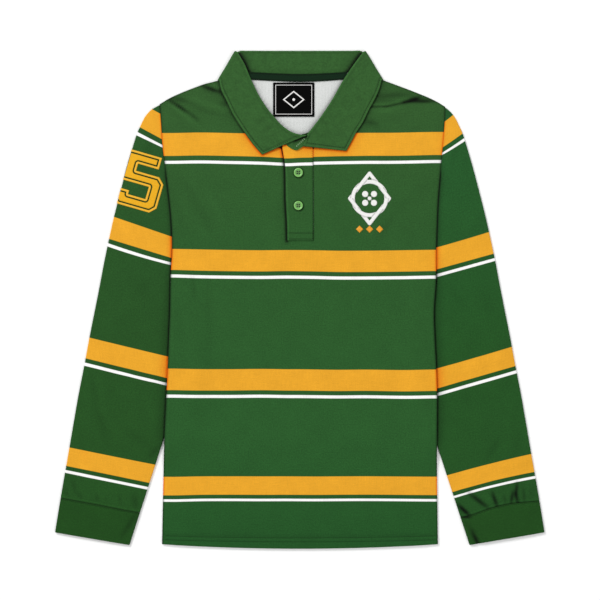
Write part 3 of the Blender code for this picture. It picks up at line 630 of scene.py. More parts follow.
# %% A jersey
def jersey(name, greens, striped=True, least=0.03):
    """least: how bright the gold and white yarns stay where hardly any light reaches."""
    made, tree, shader = new_material(name)
    height, wave, place = knit(tree)
    tone = add_node(tree, "Attribute", out="Fac", attribute_name="tone")
    share = add_node(tree, "MapRange", [height, CLOTH_LOW * MM, CLOTH_HIGH * MM])
    base = add_node(tree, "ValToRGB", [share])
    set_ramp(base.node, [(cloth_share(v), colour(code)) for v, code in greens])
    face = shade(tree, base, tone, mottle(tree, place, 1.9, 0.80, 1.20))
    if striped:
        # Painted shade on the stripes: where the tone is low, each yarn turns to its shaded colour and darker
        # still, down to least.
        lit = add_node(tree, "MapRange", [tone, 0.45, 1.0])
        sunk = add_node(tree, "MapRange", [tone, 0.08, 0.36, least])
        for yarn, (bright, deep) in YARNS.items():
            mask = bands(tree, height, STRIPES.columns[yarn + "_top"], STRIPES.columns[yarn + "_foot"],
                         YARN_SPREAD[yarn])
            shares = {"Factor": lit, "A": colour(deep), "B": colour(bright)}
            yarn_face = shade(tree, add_node(tree, "Mix", shares, "Result", data_type="RGBA"), sunk)
            shares = {"Factor": mask, "A": face, "B": yarn_face}
            face = add_node(tree, "Mix", shares, "Result", data_type="RGBA")
    face = shade(tree, face, mottle(tree, place, 30, 0.96, 1.04), mottle(tree, place, 1.6, 0.94, 1.06))
    for scale in ((1.0, 0.1, 1.0), (0.1, 1.0, 1.0)):
        streaks = add_node(tree, "Mapping", {"Vector": place, "Scale": scale})
        face = shade(tree, face, mottle(tree, streaks, 1.5, 0.96, 1.04))
    face = shade(tree, face, add_node(tree, "MapRange", [wave, -1.0, 1.0, 0.9, 1.06]))
    bump = add_node(tree, "Bump", {"Strength": 0.35, "Distance": 0.12 * MM, "Height": wave})
    fill(shader, {"Base Color": face, "Normal": bump, "Roughness": 0.85, "Sheen Weight": 0.04,
                  "Sheen Roughness": 0.4, "Specular IOR Level": 0.12})
    return made


# %% The jerseys' yarns
# Each yarn: its colour in full light, and its painted shade colour, a deeper orange or a grey.
YARNS = {"gold": ("#E09F28", "#D96806"), "white": ("#F4F2F1", "#8F9392")}
# Painted shade: the greens darken towards the hem, and each sleeve's copy of the jersey is darker than the
# body's, though it is all one cloth.
BODY_GREENS = [(-370, "#1E4E21"), (-200, "#265526"), (60, "#285426"), (330, "#2F5528")]
SLEEVE_GREENS = {"left": [(-370, "#204B1C"), (-100, "#224B1E"), (300, "#265024")],
                 "right": [(-370, "#204B1E"), (-100, "#204E1F"), (300, "#225428")]}
body_jersey = jersey("striped brushed jersey", BODY_GREENS)
sleeve_jersey = {side: jersey("striped brushed jersey, sleeve " + side, SLEEVE_GREENS[side], least=0.6)
                 for side in SIDE_NAMES}
cuff_jersey = jersey("plain jersey, doubled", [(-370, "#1C4517"), (0, "#1C4517")], striped=False)


# %% [markdown]
# ### The brushed inside, the collar's twill, tape, label and threads
# These are plain woven or brushed cloths. Each has soft patches and a fine weave of its own, at the
# thread spacing of the real cloth, drawn with sines over Object coordinates, which on a piece that lies
# flat follow its threads.

# %% Plain cloths
def woven(name, code, warp, weft, depth, lean=0.0, rough=0.8, patches=(0.95, 1.05), sheen=0.1, gloss=0.12):
    """A cloth of one colour. Warp and weft are thread spacings in millimetres, and lean turns the weft."""
    made, tree, shader = new_material(name)
    place = add_node(tree, "TexCoord", out="Object")
    split = add_node(tree, "SeparateXYZ", {"Vector": place}).node.outputs
    waves = [ridges(tree, split[one], split[other], lean, spacing)
             for spacing, one, other in ((warp, "X", "Y"), (weft, "Y", "X"))]
    height = add_node(tree, "Math", waves, operation="ADD")
    # Soft patches, the weave's relief, and the painted shade from the attribute "tone".
    face = shade(tree, code, mottle(tree, place, 9.0, *patches),
                 mottle(tree, place, 2.2, 2 * patches[0] - 1, 2 * patches[1] - 1),
                 add_node(tree, "MapRange", [height, -2.0, 2.0, 0.9, 1.08]),
                 add_node(tree, "Attribute", out="Fac", attribute_name="tone"))
    bump = add_node(tree, "Bump", {"Strength": 0.4, "Distance": depth * MM, "Height": height})
    fill(shader, {"Base Color": face, "Normal": bump, "Roughness": rough, "Sheen Weight": sheen,
                  "Sheen Roughness": 0.5, "Specular IOR Level": gloss})
    return made


fleece = woven("brushed inside of jersey", "#D0D2D0", 2.2, 1.7, 0.2, patches=(0.98, 1.02), sheen=0.05)
collar_cloth = woven("green cotton twill", "#2F5728", 1.5, 1.1, 0.12, lean=0.5, patches=(0.92, 1.08),
                     sheen=0.03)
tape_cloth = woven("bottle green herringbone tape", "#08200F", 1.6, 1.2, 0.15, lean=0.6, sheen=0.0)
label_cloth = woven("black woven label", "#020202", 0.9, 0.9, 0.06, rough=0.7, sheen=0.0, gloss=0.05)
pale_thread = woven("pale green buttonhole thread", "#9DBB93", 1.2, 0.6, 0.05, rough=0.6, sheen=0.0)
green_thread = woven("dark green sewing thread", "#0C230A", 1.2, 0.6, 0.05, lean=0.6, rough=0.6,
                     sheen=0.0)


# %% [markdown]
# ## The front and the back
# Each panel is one cut piece. Its grid is worked out in two halves: below the foot of the neck opening
# the rows run straight across, and above it each side is stretched between its four edges: the side,
# the shoulder and neck, the opening, and the last row below.

# %% The panels' grids
SHOULDER_SHARE, SLIT_CELLS = 0.45, 10
EDGE_STEPS = [0, 0.004, 0.009, 0.016, 0.026]


def column_shares(*stretches):
    """Shares of the way from the side to the opening: narrow at the edge, then even in each stretch."""
    return np.array(EDGE_STEPS + [c for a, b, n in stretches for c in np.linspace(a, b, n)])


# The front shows its creases and the placket's edge, and the back is mostly hidden.
COLUMNS = {
    "front": column_shares((0.034, SHOULDER_SHARE, 36), (0.462, 0.895, 37), (0.903, 1, 13)),
    "back": column_shares((0.04, SHOULDER_SHARE, 20), (0.47, 1, 24)),
}
LOWER_ROWS, UPPER_ROWS = {"front": 120, "back": 90}, {"front": 98, "back": 50}


def upper_half(side, panel):
    """From the opening's foot to the shoulder and neck, blended from the four edges around it."""
    c, s = np.meshgrid(COLUMNS[panel], np.linspace(0, 1, UPPER_ROWS[panel] + 1)[1:])
    neck = (NECK_FRONT if panel == "front" else NECK_BACK)[side]
    tip, slit_top = SHOULDERS[side].at(0.0), neck.at(1.0)
    side_y, inner_y = mix(SLIT_Y, tip[1], s), mix(SLIT_Y, slit_top[1], s)
    outer = xy(side_x(side, side_y), side_y)
    slit_x = SLIT_EDGES.at(side, inner_y if panel == "front" else np.full_like(inner_y, SLIT_Y))
    inner = xy(slit_x, inner_y)
    along_shoulder = SHOULDERS[side].at(np.minimum(c / SHOULDER_SHARE, 1))
    along_neck = neck.at(np.maximum((c - SHOULDER_SHARE) / (1 - SHOULDER_SHARE), 0))
    top = np.where((c <= SHOULDER_SHARE)[..., None], along_shoulder, along_neck)
    foot = np.array([side_x(side, SLIT_Y), SLIT_Y])
    slit_foot = np.array([SLIT_EDGES.at(side, SLIT_Y), SLIT_Y])
    c, s = c[..., None], s[..., None]
    lower = mix(foot, slit_foot, c)
    return mix(outer, inner, c) + mix(lower, top, s) - mix(lower, mix(tip, slit_top, c), s)


# %% The lower half, and the whole panel
def lower_half(panel):
    """From the hem up to the opening's foot."""
    share = np.concatenate([np.linspace(0, 0.05, 18)[:-1], np.linspace(0.05, 1, LOWER_ROWS[panel])])[:, None]
    y = mix(HEM_Y, SLIT_Y, share)
    left, right = side_x("left", y), side_x("right", y)
    slit = [SLIT_EDGES.at(side, SLIT_Y) for side in SIDE_NAMES]
    middle = np.linspace(0, 1, SLIT_CELLS + 1)[1:-1][None]
    x = np.hstack([mix(left, slit[0], COLUMNS[panel][None]), mix(slit[0], slit[1], middle) + 0 * y,
                   mix(right, slit[1], COLUMNS[panel][None])[:, ::-1]])
    across = (x - left) / (right - left) * 2 - 1
    return xy(x, y - HEM_SAG * (1 - across**2) * (1 - share) ** 3)


def panel_grid(panel):
    left, right = upper_half("left", panel), upper_half("right", panel)[:, ::-1]
    share = np.linspace(0, 1, SLIT_CELLS + 1)[1:-1][None, :, None]
    middle = mix(left[:, -1:], right[:, :1], share)
    if panel == "front":
        middle = np.full_like(middle, np.nan)
    return np.concatenate([lower_half(panel), np.concatenate([left, middle, right], 1)])


def raised(points, heights):
    return np.concatenate([points, heights[..., None]], -1)


# %% The stripes' hang
def stripe_drop(points):
    """How far the stripes hang below a straight line, blended between the four measured stripes."""
    points = np.nan_to_num(points)
    middles = (STRIPES.columns["gold_top"] + STRIPES.columns["white_foot"]) / 2
    drops = np.stack([STRIPE_DROP.at(name, points[..., 0]) for name in
                      ("first", "second", "third", "fourth")], -1)
    share = np.interp(points[..., 1], middles[::-1], np.arange(3, -1, -1.0))
    low = np.clip(np.floor(share), 0, 2).astype(int)
    near = [np.take_along_axis(drops, (low + k)[..., None], -1)[..., 0] for k in (0, 1)]
    return mix(near[0], near[1], share - low)


# %% Shadows beside lines
# Each row of a shadow: how far from the line it lies, its reach and its depth, in millimetres and in
# tone. A depth below zero is a lit edge.
TOPSTITCH = 4.5
SHADOWS = {
    "neck on back": ((0, 2.6, 0.34), (0, 9.0, 0.08)),
    "side of front": ((0, 1.7, 0.55), (0, 9.0, 0.06)),
    "lit side of front": ((4.5, 2.0, -0.06),),
    "shoulder on front": ((0, 1.6, 0.45),),
    "leaf on front": ((0, 2.4, 0.60), (0, 10.0, 0.16)),
    "placket on front": ((0, 3.0, 0.95), (0, 7.0, 0.10)),
    "right seam on front": ((0, 1.1, 0.4),),
    "upper hem stitches": ((0, 1.0, 0.12), (2.5, 3.0, 0.10)),
    "lower hem stitches": ((0, 1.0, 0.12),),
    "cuff on sleeve": ((0, 1.4, 0.30), (0, 8.0, 0.06), (2.6, 1.1, -0.16)),
    "sleeve on cuff": ((0, 1.5, 0.42), (0, 4.0, -0.08)),
    "edge of leaf": ((0, 0.8, 0.50), (1.5, 0.8, -0.28), (TOPSTITCH, 0.9, 0.30)),
    "fold of leaf": ((1.0, 0.9, -0.30), (4.2, 1.6, 0.14)),
    "leaf over stand": ((0, 4.0, 0.98), (0, 10.0, 0.34)),
    "stand over tape": ((6.0, 2.5, -0.06),),
    "leaf on tab": ((0, 3.6, 1.2),),
    "left leaf on placket": ((0, 2.6, 0.85),),
    "right leaf on placket": ((0, 3.0, 0.5), (0, 11.0, 0.25)),
    "edge of placket": ((0, 0.9, 0.85), (2.4, 0.8, -0.42)),
    "seam of placket": ((0, 1.2, 0.5),),
    "placket stitches": ((0, 0.9, 0.32),),
    "button on placket": ((6.9, 1.5, 0.7),),
}


def shadow(gap, name):
    """How much darker the cloth is at a distance from what casts the shadow."""
    return sum(depth * bell(gap - at, reach) for at, reach, depth in SHADOWS[name])


def beside(points, line, name):
    return shadow(distance_to_line(points, line), name)


def leaf_outline(side):
    return [CREASE[side].at(0.0), LEAF_KNEE[side], LEAF_EDGE[side].at(0.0)] + list(LEAF_EDGE[side].points[1:])


# %% The front's relief, and its painted shade
PLACKET_EDGE = [(SLIT_EDGES.at("placket", y), y) for y in (231, 215, 200, 180, 150, 120, 98, 88)]
RIGHT_SEAM = [(SLIT_EDGES.at("right", y), y) for y in (231, 200, 176, 147, 114, 88)]
HEM_STITCHES, HEM_HALF, STITCH_SAG = (-354.3, -360.2), 206, 3.0
HEM_STEP, GROOVE, GROOVE_REACH = 0.55, 0.45, 1.5


def hem_line(points, y):
    """Each point's height above one of the hem's two stitched lines."""
    across = np.clip(points[..., 0] / HEM_HALF, -1, 1)
    return points[..., 1] - (y - STITCH_SAG * (1 - across**2))


# Painted shade on the front: in its creases, beside the side seams and the shoulders, under the collar's
# leaves, beside the placket and the right seam, and along the hem's stitched lines, with painted highlights
# on its ridges and a little inside the sides low down.
def front_tone(points):
    tone = 1 - painted_shade_of(points, CREASES)
    side_gap = np.abs(nearest_side_x(points)) - np.abs(points[..., 0])
    tone -= shadow(side_gap, "side of front")
    tone -= shadow(side_gap, "lit side of front") * (points[..., 1] < TUCK_TOP_Y)
    for side in SIDE_NAMES:
        tone -= beside(points, leaf_outline(side), "leaf on front")
        tone -= beside(points, SHOULDERS[side].points, "shoulder on front")
    tone -= beside(points, PLACKET_EDGE, "placket on front")
    tone -= beside(points, RIGHT_SEAM, "right seam on front")
    upper, lower = [hem_line(points, y) for y in HEM_STITCHES]
    tone -= shadow(upper, "upper hem stitches") + shadow(lower, "lower hem stitches")
    return np.clip(tone, 0.04, 1.2)


def hem_relief(points):
    """The turned-up hem is two plies thick, with a groove along each stitched line."""
    upper, lower = [hem_line(points, y) for y in HEM_STITCHES]
    step = HEM_STEP * (1 - smooth((upper + GROOVE_REACH) / 4.5))
    return step - GROOVE * (bell(upper, GROOVE_REACH) + bell(lower, GROOVE_REACH))


# %% Front and back
back_flat = panel_grid("back")
# The back's tone: a little darker towards the neck, and a painted shadow beside each crease of the collar.
back_tone = 1 - 0.06 * smooth((back_flat[..., 1] - 300) / 60)
for side in SIDE_NAMES:
    back_tone -= beside(back_flat, CREASE[side].points, "neck on back")
back_panel = add_shell("back_shell", raised(back_flat, back_under(back_flat)), CLOTH,
                       ["back_panel"], [fleece, body_jersey], tone=back_tone)
front_flat = panel_grid("front")
front_place = front_flat + xy(0 * front_flat[..., 0], stripe_drop(front_flat))
front_panel = add_shell("front_shell", raised(front_flat, front_under(front_flat) + hem_relief(front_flat)),
                        CLOTH, ["front_panel"], [body_jersey, fleece], flat=front_place,
                        tone=front_tone(front_flat))

# %% [markdown]
# ## The sleeves
# Each sleeve is a tube that lies flattened, so a section across it is two straight plies joined by two
# tight folds. The sections run from the armhole to the cuff. Near the side of the body the tube slides
# under the body, as it does on the real shirt. The stripes meet the seams at a slant, so a point's
# height on the cloth is read between the lines that the stripes follow.

# %% Flattened tubes
FOLD_ANGLES = np.radians([0, 22.5, 45, 67.5, 90])


def tube(side, outer, inner, height, cells, top, shape=None):
    """Sections of a flattened tube between two edges. The bottom lies on the floor, and top lifts it."""
    radius = height / 2
    length = np.linalg.norm(inner - outer, axis=1)[:, None]
    turn_d, turn_z = radius * (1 - np.cos(FOLD_ANGLES)), radius * np.sin(FOLD_ANGLES)
    flat_d = radius + (length - 2 * radius) * (np.arange(1, cells) / cells)[None]
    ones = np.ones_like(length)
    d = np.hstack([turn_d * ones, flat_d, length - turn_d[::-1] * ones])
    z = np.hstack([turn_z, np.full(cells - 1, radius), turn_z[::-1]])[None] * ones
    over, under = radius + z, radius - z
    ring_d = np.hstack([d, d[:, -2:0:-1]])
    ring_z = np.hstack([over, under[:, -2:0:-1]])
    upper = np.hstack([(z >= radius * 0.999), np.zeros_like(z[:, -2:0:-1], bool)])
    if side == "left":
        order = [0] + list(range(ring_d.shape[1] - 1, 0, -1))
        ring_d, ring_z, upper = ring_d[:, order], ring_z[:, order], upper[:, order]
    ring_d, ring_z, upper = [np.hstack([a, a[:, :1]]) for a in (ring_d, ring_z, upper)]
    share = (ring_d / length)[..., None]
    flat = mix(outer[:, None], inner[:, None], share)
    if shape is not None:
        flat = shape(flat, share)
    lift = np.where(upper, top(flat, ring_d, length - ring_d), 0.0)
    return raised(flat, ring_z + lift)


# %% The sleeves' edges and creases
def sleeve_edges(side, stations):
    outer = xy(sign(side) * SLEEVE.at("outer_x", stations), SLEEVE.at("outer_y", stations))
    inner_y = SLEEVE.at("inner_y", stations)
    return outer, xy(sleeve_inner(side, inner_y), inner_y)


CUFF_STATION, FULLNESS_STATION = 20.0, 18.4
SLEEVE_STATIONS = np.concatenate([np.linspace(0, 1, 7), np.linspace(1, FULLNESS_STATION, 118)[1:],
                                  np.linspace(FULLNESS_STATION, CUFF_STATION, 20)[1:]])
SLEEVE_CELLS = 68
# Each row as in CREASES, with its painted shade in the last column.
SLEEVE_CREASES = {
    "left": [
        ((-262, 120), (-225, 50), 9, 0.5, -0.02), ((-212, 36), (-258, -10), 7, -0.5, 0.06),
        ((-312, -118), (-304, -168), 5, -0.6, 0.13), ((-305, -165), (-280, -228), 6, -0.6, 0.12),
        ((-300, -120), (-290, -170), 6, 0.5, -0.05), ((-258, -196), (-216, -228), 6, -0.5, 0.12),
        ((-211, -220), (-228, -242), 5, -0.5, 0.26),
        ((-225, -150), (-215, -200), 7, 0.4, -0.03), ((-240, 0), (-290, -40), 9, 0.5, -0.03),
        ((-330, -200), (-318, -250), 6, -0.4, 0.05), ((-222, 240), (-232, 200), 5, -0.4, 0.08),
    ],
    "right": [
        ((270, 140), (232, 60), 9, 0.5, -0.02), ((214, 30), (262, -30), 8, -0.5, 0.05),
        ((300, -208), (276, -246), 5, -0.6, 0.12), ((322, -150), (304, -200), 7, 0.4, -0.04),
        ((240, -120), (262, -170), 8, -0.4, 0.05), ((236, 232), (228, 196), 5, -0.5, 0.10),
        ((262, 20), (300, -40), 9, -0.35, 0.04), ((330, -190), (322, -246), 7, -0.4, 0.05),
    ],
}
# Fullness eased into the cuffs: short troughs that run up from the cuff seam, each with its painted shade in
# the last column.
GATHERS = {
    "left": [
        ((-340, -273), (-334, -296), 3.2, -0.6, 0.20), ((-332, -290), (-325, -301), 3.0, -0.6, 0.20),
        ((-352, -282), (-346, -299), 3.6, -0.4, 0.16), ((-304, -293), (-302, -304), 2.4, -0.5, 0.20),
        ((-290, -296), (-288, -307), 2.6, -0.5, 0.10), ((-270, -293), (-267, -310), 2.8, -0.6, 0.16),
        ((-248, -295), (-244, -316), 4.6, -0.7, 0.28), ((-318, -290), (-315, -302), 3.0, 0.4, -0.04),
    ],
    "right": [
        ((254, -291), (287, -316), 3.4, -1.1, 0.85), ((288, -289), (298, -316), 3.0, -1.0, 0.85),
        ((306, -294), (309, -309), 2.4, -0.5, 0.30), ((319, -288), (316, -310), 2.6, -0.8, 0.75),
        ((325.5, -275), (323.5, -298), 3.0, -1.0, 0.75), ((323, -290), (328.5, -311), 3.0, -1.0, 0.75),
        ((335, -283), (337, -308), 2.4, -0.5, 0.36), ((237, -308), (258, -327), 3.0, -1.1, 1.10),
        ((272, -290), (292, -306), 3.0, 0.5, -0.10), ((346, -286), (349, -300), 3.0, -0.4, 0.08),
    ],
}
# Each row as in CREASES, with its painted shade in the last column.
CUFF_CREASES = {
    "left": [((-243, -320), (-271, -362), 4.6, -0.8, 0.30), ((-330, -312), (-338, -342), 6.0, -0.3, 0.03)],
    "right": [((258, -348), (273, -378), 3.4, -0.9, 0.9), ((249, -335), (263, -351), 3.6, -0.5, 0.20),
              ((242, -326), (260, -326.5), 1.9, -0.5, 0.95)],
}


# %% A sleeve's points
# How far the cuff's seam lies above a straight line, from the outer fold to the inner one.
SEAM_BOW = {
    "left": Table("share bow", [(0, 1.0), (0.25, 1.6), (0.5, 2.2), (0.75, 2.4), (1, 3.4)]),
    "right": Table("share bow", [(0, -3.4), (0.21, -0.4), (0.36, 1.5), (0.55, 1.2), (0.7, -0.6),
                                 (0.88, -3.6), (1, -3.2)]),
}


def seam_shift(side, share):
    """The shift of the cuff's seam, along the sleeve, at a share of the way to the inner fold."""
    bow = SEAM_BOW[side].at("bow", share)
    return xy(sign(side) * mix(-0.16, -0.30, share) * bow, 0.97 * bow)


def sleeve_points(side):
    outer, inner = sleeve_edges(side, SLEEVE_STATIONS)
    tip = SHOULDERS[side].at(0.0)
    near = np.clip(1 - SLEEVE_STATIONS, 0, 1)[:, None]
    start = np.array([side_x(side, tip[1]) + sign(side) * ARMHOLE_GAP, tip[1] - 1])
    outer = outer + (start - outer[0]) * near
    calm = (0.25 + 0.75 * smooth((CUFF_STATION - SLEEVE_STATIONS) / 3))[:, None]

    def hold(flat, share):
        """Keeps the sleeve outside the body's side, and brings its first rows onto the armhole."""
        least = np.abs(side_x(side, np.minimum(flat[..., 1], TIP_Y))) + ARMHOLE_GAP
        free = np.abs(flat[..., 0])
        held = np.where(flat[..., 1] > TUCK_TOP_Y, np.maximum(free, least), free)
        seam_y = mix(start[1], UNDERARM_Y, share[..., 0])
        seam_x = np.abs(side_x(side, np.minimum(seam_y, TIP_Y))) + ARMHOLE_GAP
        first = held[6:7] + 0 * held
        x = np.where(near > 0, mix(first, seam_x, near), held)
        y = np.where(near > 0, mix(flat[6:7, :, 1] + 0 * held, seam_y, near), flat[..., 1])
        low = smooth((SLEEVE_STATIONS - 18.2) / 1.8)[:, None]
        return xy(sign(side) * x, y) + seam_shift(side, share[..., 0]) * low[..., None]

    def top(flat, d_outer, d_inner):
        beside = np.abs(flat[..., 0]) - np.abs(side_x(side, flat[..., 1]))
        edge = np.maximum(0.0, np.minimum(np.minimum(d_outer, d_inner), beside))
        shaped = height_of(flat, SLEEVE_CREASES[side]) * smooth(edge / 16)
        eased = height_of(flat, GATHERS[side]) * smooth(edge / 5)
        return SLEEVE_PUFF * calm * smooth(edge / 34) + shaped + eased

    return tube(side, outer, inner, SLEEVE_HEIGHT, SLEEVE_CELLS, top, hold)


# %% The stripes' slant on the sleeves
# Each row: two points of a stripe's edge, from the outer fold to the seam side, and how far the edge
# bows upwards between them, in millimetres.
STRIPE_EDGES = {
    "left": Table(
        "outer_x outer_y inner_x inner_y bow",
        [
            (-220.4, 284.4, -208.9, 278.1, 0.0), (-238.7, 257.1, -207.2, 240.1, 0.0),
            (-241.8, 250.2, -205.8, 231.2, 0.0), (-243.9, 245.0, -205.5, 227.0, 0.0),
            (-278.7, 123.8, -192.6, 94.2, 0.0), (-286.1, 90.5, -193.5, 62.2, 0.0),
            (-287.6, 84.5, -193.1, 55.5, -1.3), (-288.8, 79.2, -193.2, 51.1, -1.3),
            (-317.7, -56.7, -197.4, -85.7, 0.0), (-323.7, -87.9, -198.3, -118.2, 0.0),
            (-299.7, -99.9, -199.2, -125.1, -0.3), (-299.7, -105.3, -199.2, -129.3, -0.3),
            (-345.3, -221.8, -216.2, -247.7, 0.0), (-350.4, -249.6, -224.4, -275.3, 0.3),
            (-351.5, -255.1, -226.1, -281.1, 0.2), (-352.2, -260.2, -227.9, -285.7, 0.2),
        ],
    ),
    "right": Table(
        "outer_x outer_y inner_x inner_y bow",
        [
            (229.8, 276.5, 217.8, 266.9, 0.0), (244.1, 248.4, 215.3, 228.3, -0.3),
            (246.6, 242.1, 214.5, 220.2, -0.5), (247.7, 236.9, 213.5, 216.6, -0.5),
            (283.8, 101.0, 204.9, 77.8, -0.4), (291.0, 68.3, 204.5, 44.5, 0.0),
            (292.4, 62.1, 204.5, 37.9, 0.0), (293.6, 57.6, 203.6, 32.6, 0.0),
            (315.3, -71.8, 204.3, -103.9, -0.3), (300.3, -106.5, 205.8, -133.6, 0.2),
            (300.3, -112.9, 205.8, -140.2, 0.1), (300.3, -118.1, 205.8, -145.3, 0.1),
            (347.4, -231.5, 221.7, -263.3, 1.2), (352.2, -258.5, 230.9, -288.1, 2.0),
            (353.1, -264.2, 232.7, -294.1, 2.2), (354.0, -268.7, 234.3, -297.1, 2.2),
        ],
    ),
}


def sleeve_places(side, points):
    """Where each point of the sleeve is on the cloth: across it, and up it by the stripes."""
    edges = STRIPE_EDGES[side].columns
    slope = (edges["inner_y"] - edges["outer_y"]) / (edges["inner_x"] - edges["outer_x"])
    heights = np.stack([STRIPES.columns[name] for name in
                        ("gold_top", "gold_foot", "white_top", "white_foot")], -1).ravel()
    flat = points[..., :2].reshape(-1, 2)
    lines = edges["outer_y"] + slope * (flat[:, :1] - edges["outer_x"])
    across = np.clip((flat[:, :1] - edges["outer_x"]) / (edges["inner_x"] - edges["outer_x"]), 0, 1)
    lines += edges["bow"] * 4 * across * (1 - across)
    v = np.array([np.interp(y, row[::-1], heights[::-1]) for y, row in zip(flat[:, 1], lines)])
    above, below = flat[:, 1] - lines[:, 0], flat[:, 1] - lines[:, -1]
    v += np.maximum(above, 0) + np.minimum(below, 0)
    return xy(flat[:, 0], v).reshape(*points.shape[:-1], 2)


# %% Both sleeves
def cuff_seam(side):
    share = np.linspace(0, 1, 25)
    outer, inner = [edge[0] for edge in sleeve_edges(side, np.array([CUFF_STATION]))]
    return list(mix(outer, inner, share[:, None]) + seam_shift(side, share))


CUFF_SEAM = {side: cuff_seam(side) for side in SIDE_NAMES}


# Painted shade on a sleeve: a shadow beside the body's edge, darkest where the body lies over the sleeve, and
# in its creases, its gathers and beside the cuff's seam, with painted highlights on its ridges and in a line
# just above that seam.
def sleeve_tone(side, points):
    flat = points[..., :2]
    gap = np.abs(flat[..., 0]) - np.abs(side_x(side, flat[..., 1]))
    deep = smooth((205 - flat[..., 1]) / 25) * smooth((flat[..., 1] + 232) / 30)
    low = smooth((60 - flat[..., 1]) / 60)
    tone = 1 - mix(0.4, 0.86, deep) * bell(np.maximum(gap, 0), mix(1.5, 2.0, deep))
    tone -= mix(0.12, 0.24, deep) * bell(np.maximum(gap, 0), mix(6, 10, low)) * (deep + 0.35)
    tone -= painted_shade_of(flat, SLEEVE_CREASES[side]) + painted_shade_of(flat, GATHERS[side])
    tone -= beside(flat, CUFF_SEAM[side], "cuff on sleeve")
    return np.clip(tone, 0.06, 1.15)


sleeves = {}
for side in SIDE_NAMES:
    points = sleeve_points(side)
    sleeves[side] = add_shell("sleeve_shell_" + side, points, CLOTH, ["sleeve_" + side],
                              [sleeve_jersey[side], fleece], flat=sleeve_places(side, points),
                              tone=sleeve_tone(side, points), offset=-1.0, round_off=0.4)

# %% [markdown]
# ## The cuffs
# A cuff is a band of the same jersey, doubled, which is sewn on with the sleeve's fullness eased in.

# %% Both cuffs
CUFF_ROWS, CUFF_CELLS = 26, 60
cuffs = {}


def cuff_points(side):
    outer, inner = [edge[0] for edge in sleeve_edges(side, np.array([CUFF_STATION]))]
    ends = [np.array([sign(side) * CUFF_END[name][0], CUFF_END[name][1]]) for name in ("outer", "inner")]
    ends[1][0] += sign(side) * INNER_LEAN[side][1]
    first = SEAM / np.linalg.norm(ends[0] - outer)
    shares = np.linspace(first, 1, CUFF_ROWS + 1)[:, None]

    def follow_seam(flat, share):
        return flat + seam_shift(side, share[..., 0]) * (1 - shares)[..., None]

    def top(flat, d_outer, d_inner):
        edge = np.minimum(d_outer, d_inner)
        return 0.7 * smooth(edge / 30) + height_of(flat, CUFF_CREASES[side]) * smooth(edge / 5)

    return tube(side, mix(outer, ends[0], shares), mix(inner, ends[1], shares), CUFF_HEIGHT, CUFF_CELLS, top,
                follow_seam)


for side in SIDE_NAMES:
    points = cuff_points(side)
    # Painted shade in the cuff's creases and beside its seam.
    tone = 1 - painted_shade_of(points[..., :2], CUFF_CREASES[side])
    tone -= beside(points[..., :2], CUFF_SEAM[side], "sleeve on cuff")
    cuffs[side] = add_shell("cuff_shell_" + side, points, CUFF, ["cuff_" + side],
                            [cuff_jersey], tone=np.clip(tone, 0.1, 1.15), offset=-1.0, round_off=0.5)

# %% [markdown]
# ## The collar
# The leaf folds over the stand along the crease. Both are worked out section by section round the neck:
# down one front, round the corner at the side of the neck, and across the back, where the leaf lies
# under the body.

# %% The collar's sections
COLLAR_CELLS, TURN_CELLS, BACK_CELLS, STAND_CELLS = 64, 12, 60, 12
LEAF_SHARES = np.concatenate([np.linspace(0, 0.1, 7)[1:], np.linspace(0.1, 0.8, 20)[1:],
                              np.linspace(0.8, 1, 17)[1:]])
ROLL_ANGLES = np.radians(np.arange(-90, 91, 18))


def unit(vector):
    return np.array(vector, float) / np.linalg.norm(vector)


def inside(line, share, gap):
    """A point of a neck edge, moved by the gap towards the middle of the neck opening."""
    near, far = line.at(max(share - 0.02, 0)), line.at(min(share + 0.02, 1))
    across = unit([near[1] - far[1], far[0] - near[0]])
    at = line.at(share)
    return at + across * gap * (1 if across @ (np.array([0, 350]) - at) > 0 else -1)


def front_section(side, share):
    return {"crease": CREASE[side].at(share), "edge": LEAF_EDGE[side].at(share), "side": side,
            "neck": inside(NECK_FRONT[side], 1 - share, NECK_GAP), "share": share, "turn": 0.0,
            "outward": np.zeros(2)}


def corner_section(side, turn):
    section = front_section(side, 1.0)
    down = unit(section["edge"] - section["crease"])
    outward = np.array([down[1], -down[0]]) * -sign(side)
    return section | {"turn": math.radians(turn), "outward": outward}


def back_section(share):
    return {"crease": BACK_CREASE.at(share), "edge": FALL_EDGE.at(share), "side": "back",
            "neck": inside(BACK_NECK, share, SEAM), "share": 1.0, "turn": math.pi, "outward": np.zeros(2)}


def collar_sections():
    turns = [180 * k / TURN_CELLS for k in range(1, TURN_CELLS)]
    down = list(np.linspace(0, 0.06, 15)[:-1]) + list(np.linspace(0.06, 1, COLLAR_CELLS + 1))
    return (
        [front_section("left", share) for share in down]
        + [corner_section("left", turn) for turn in turns]
        + [back_section(k / BACK_CELLS) for k in range(BACK_CELLS + 1)]
        + [corner_section("right", turn) for turn in reversed(turns)]
        + [front_section("right", share) for share in reversed(down)]
    )


def place(flat, z_front, z_back, section):
    """Points of the collar: on its front level at turn 0, on its back level at half a turn."""
    centre, radius = (z_front + z_back) / 2, (z_front - z_back) / 2
    moved = flat + section["outward"] * (radius * math.sin(section["turn"]))[..., None]
    return raised(moved, centre + radius * math.cos(section["turn"]))


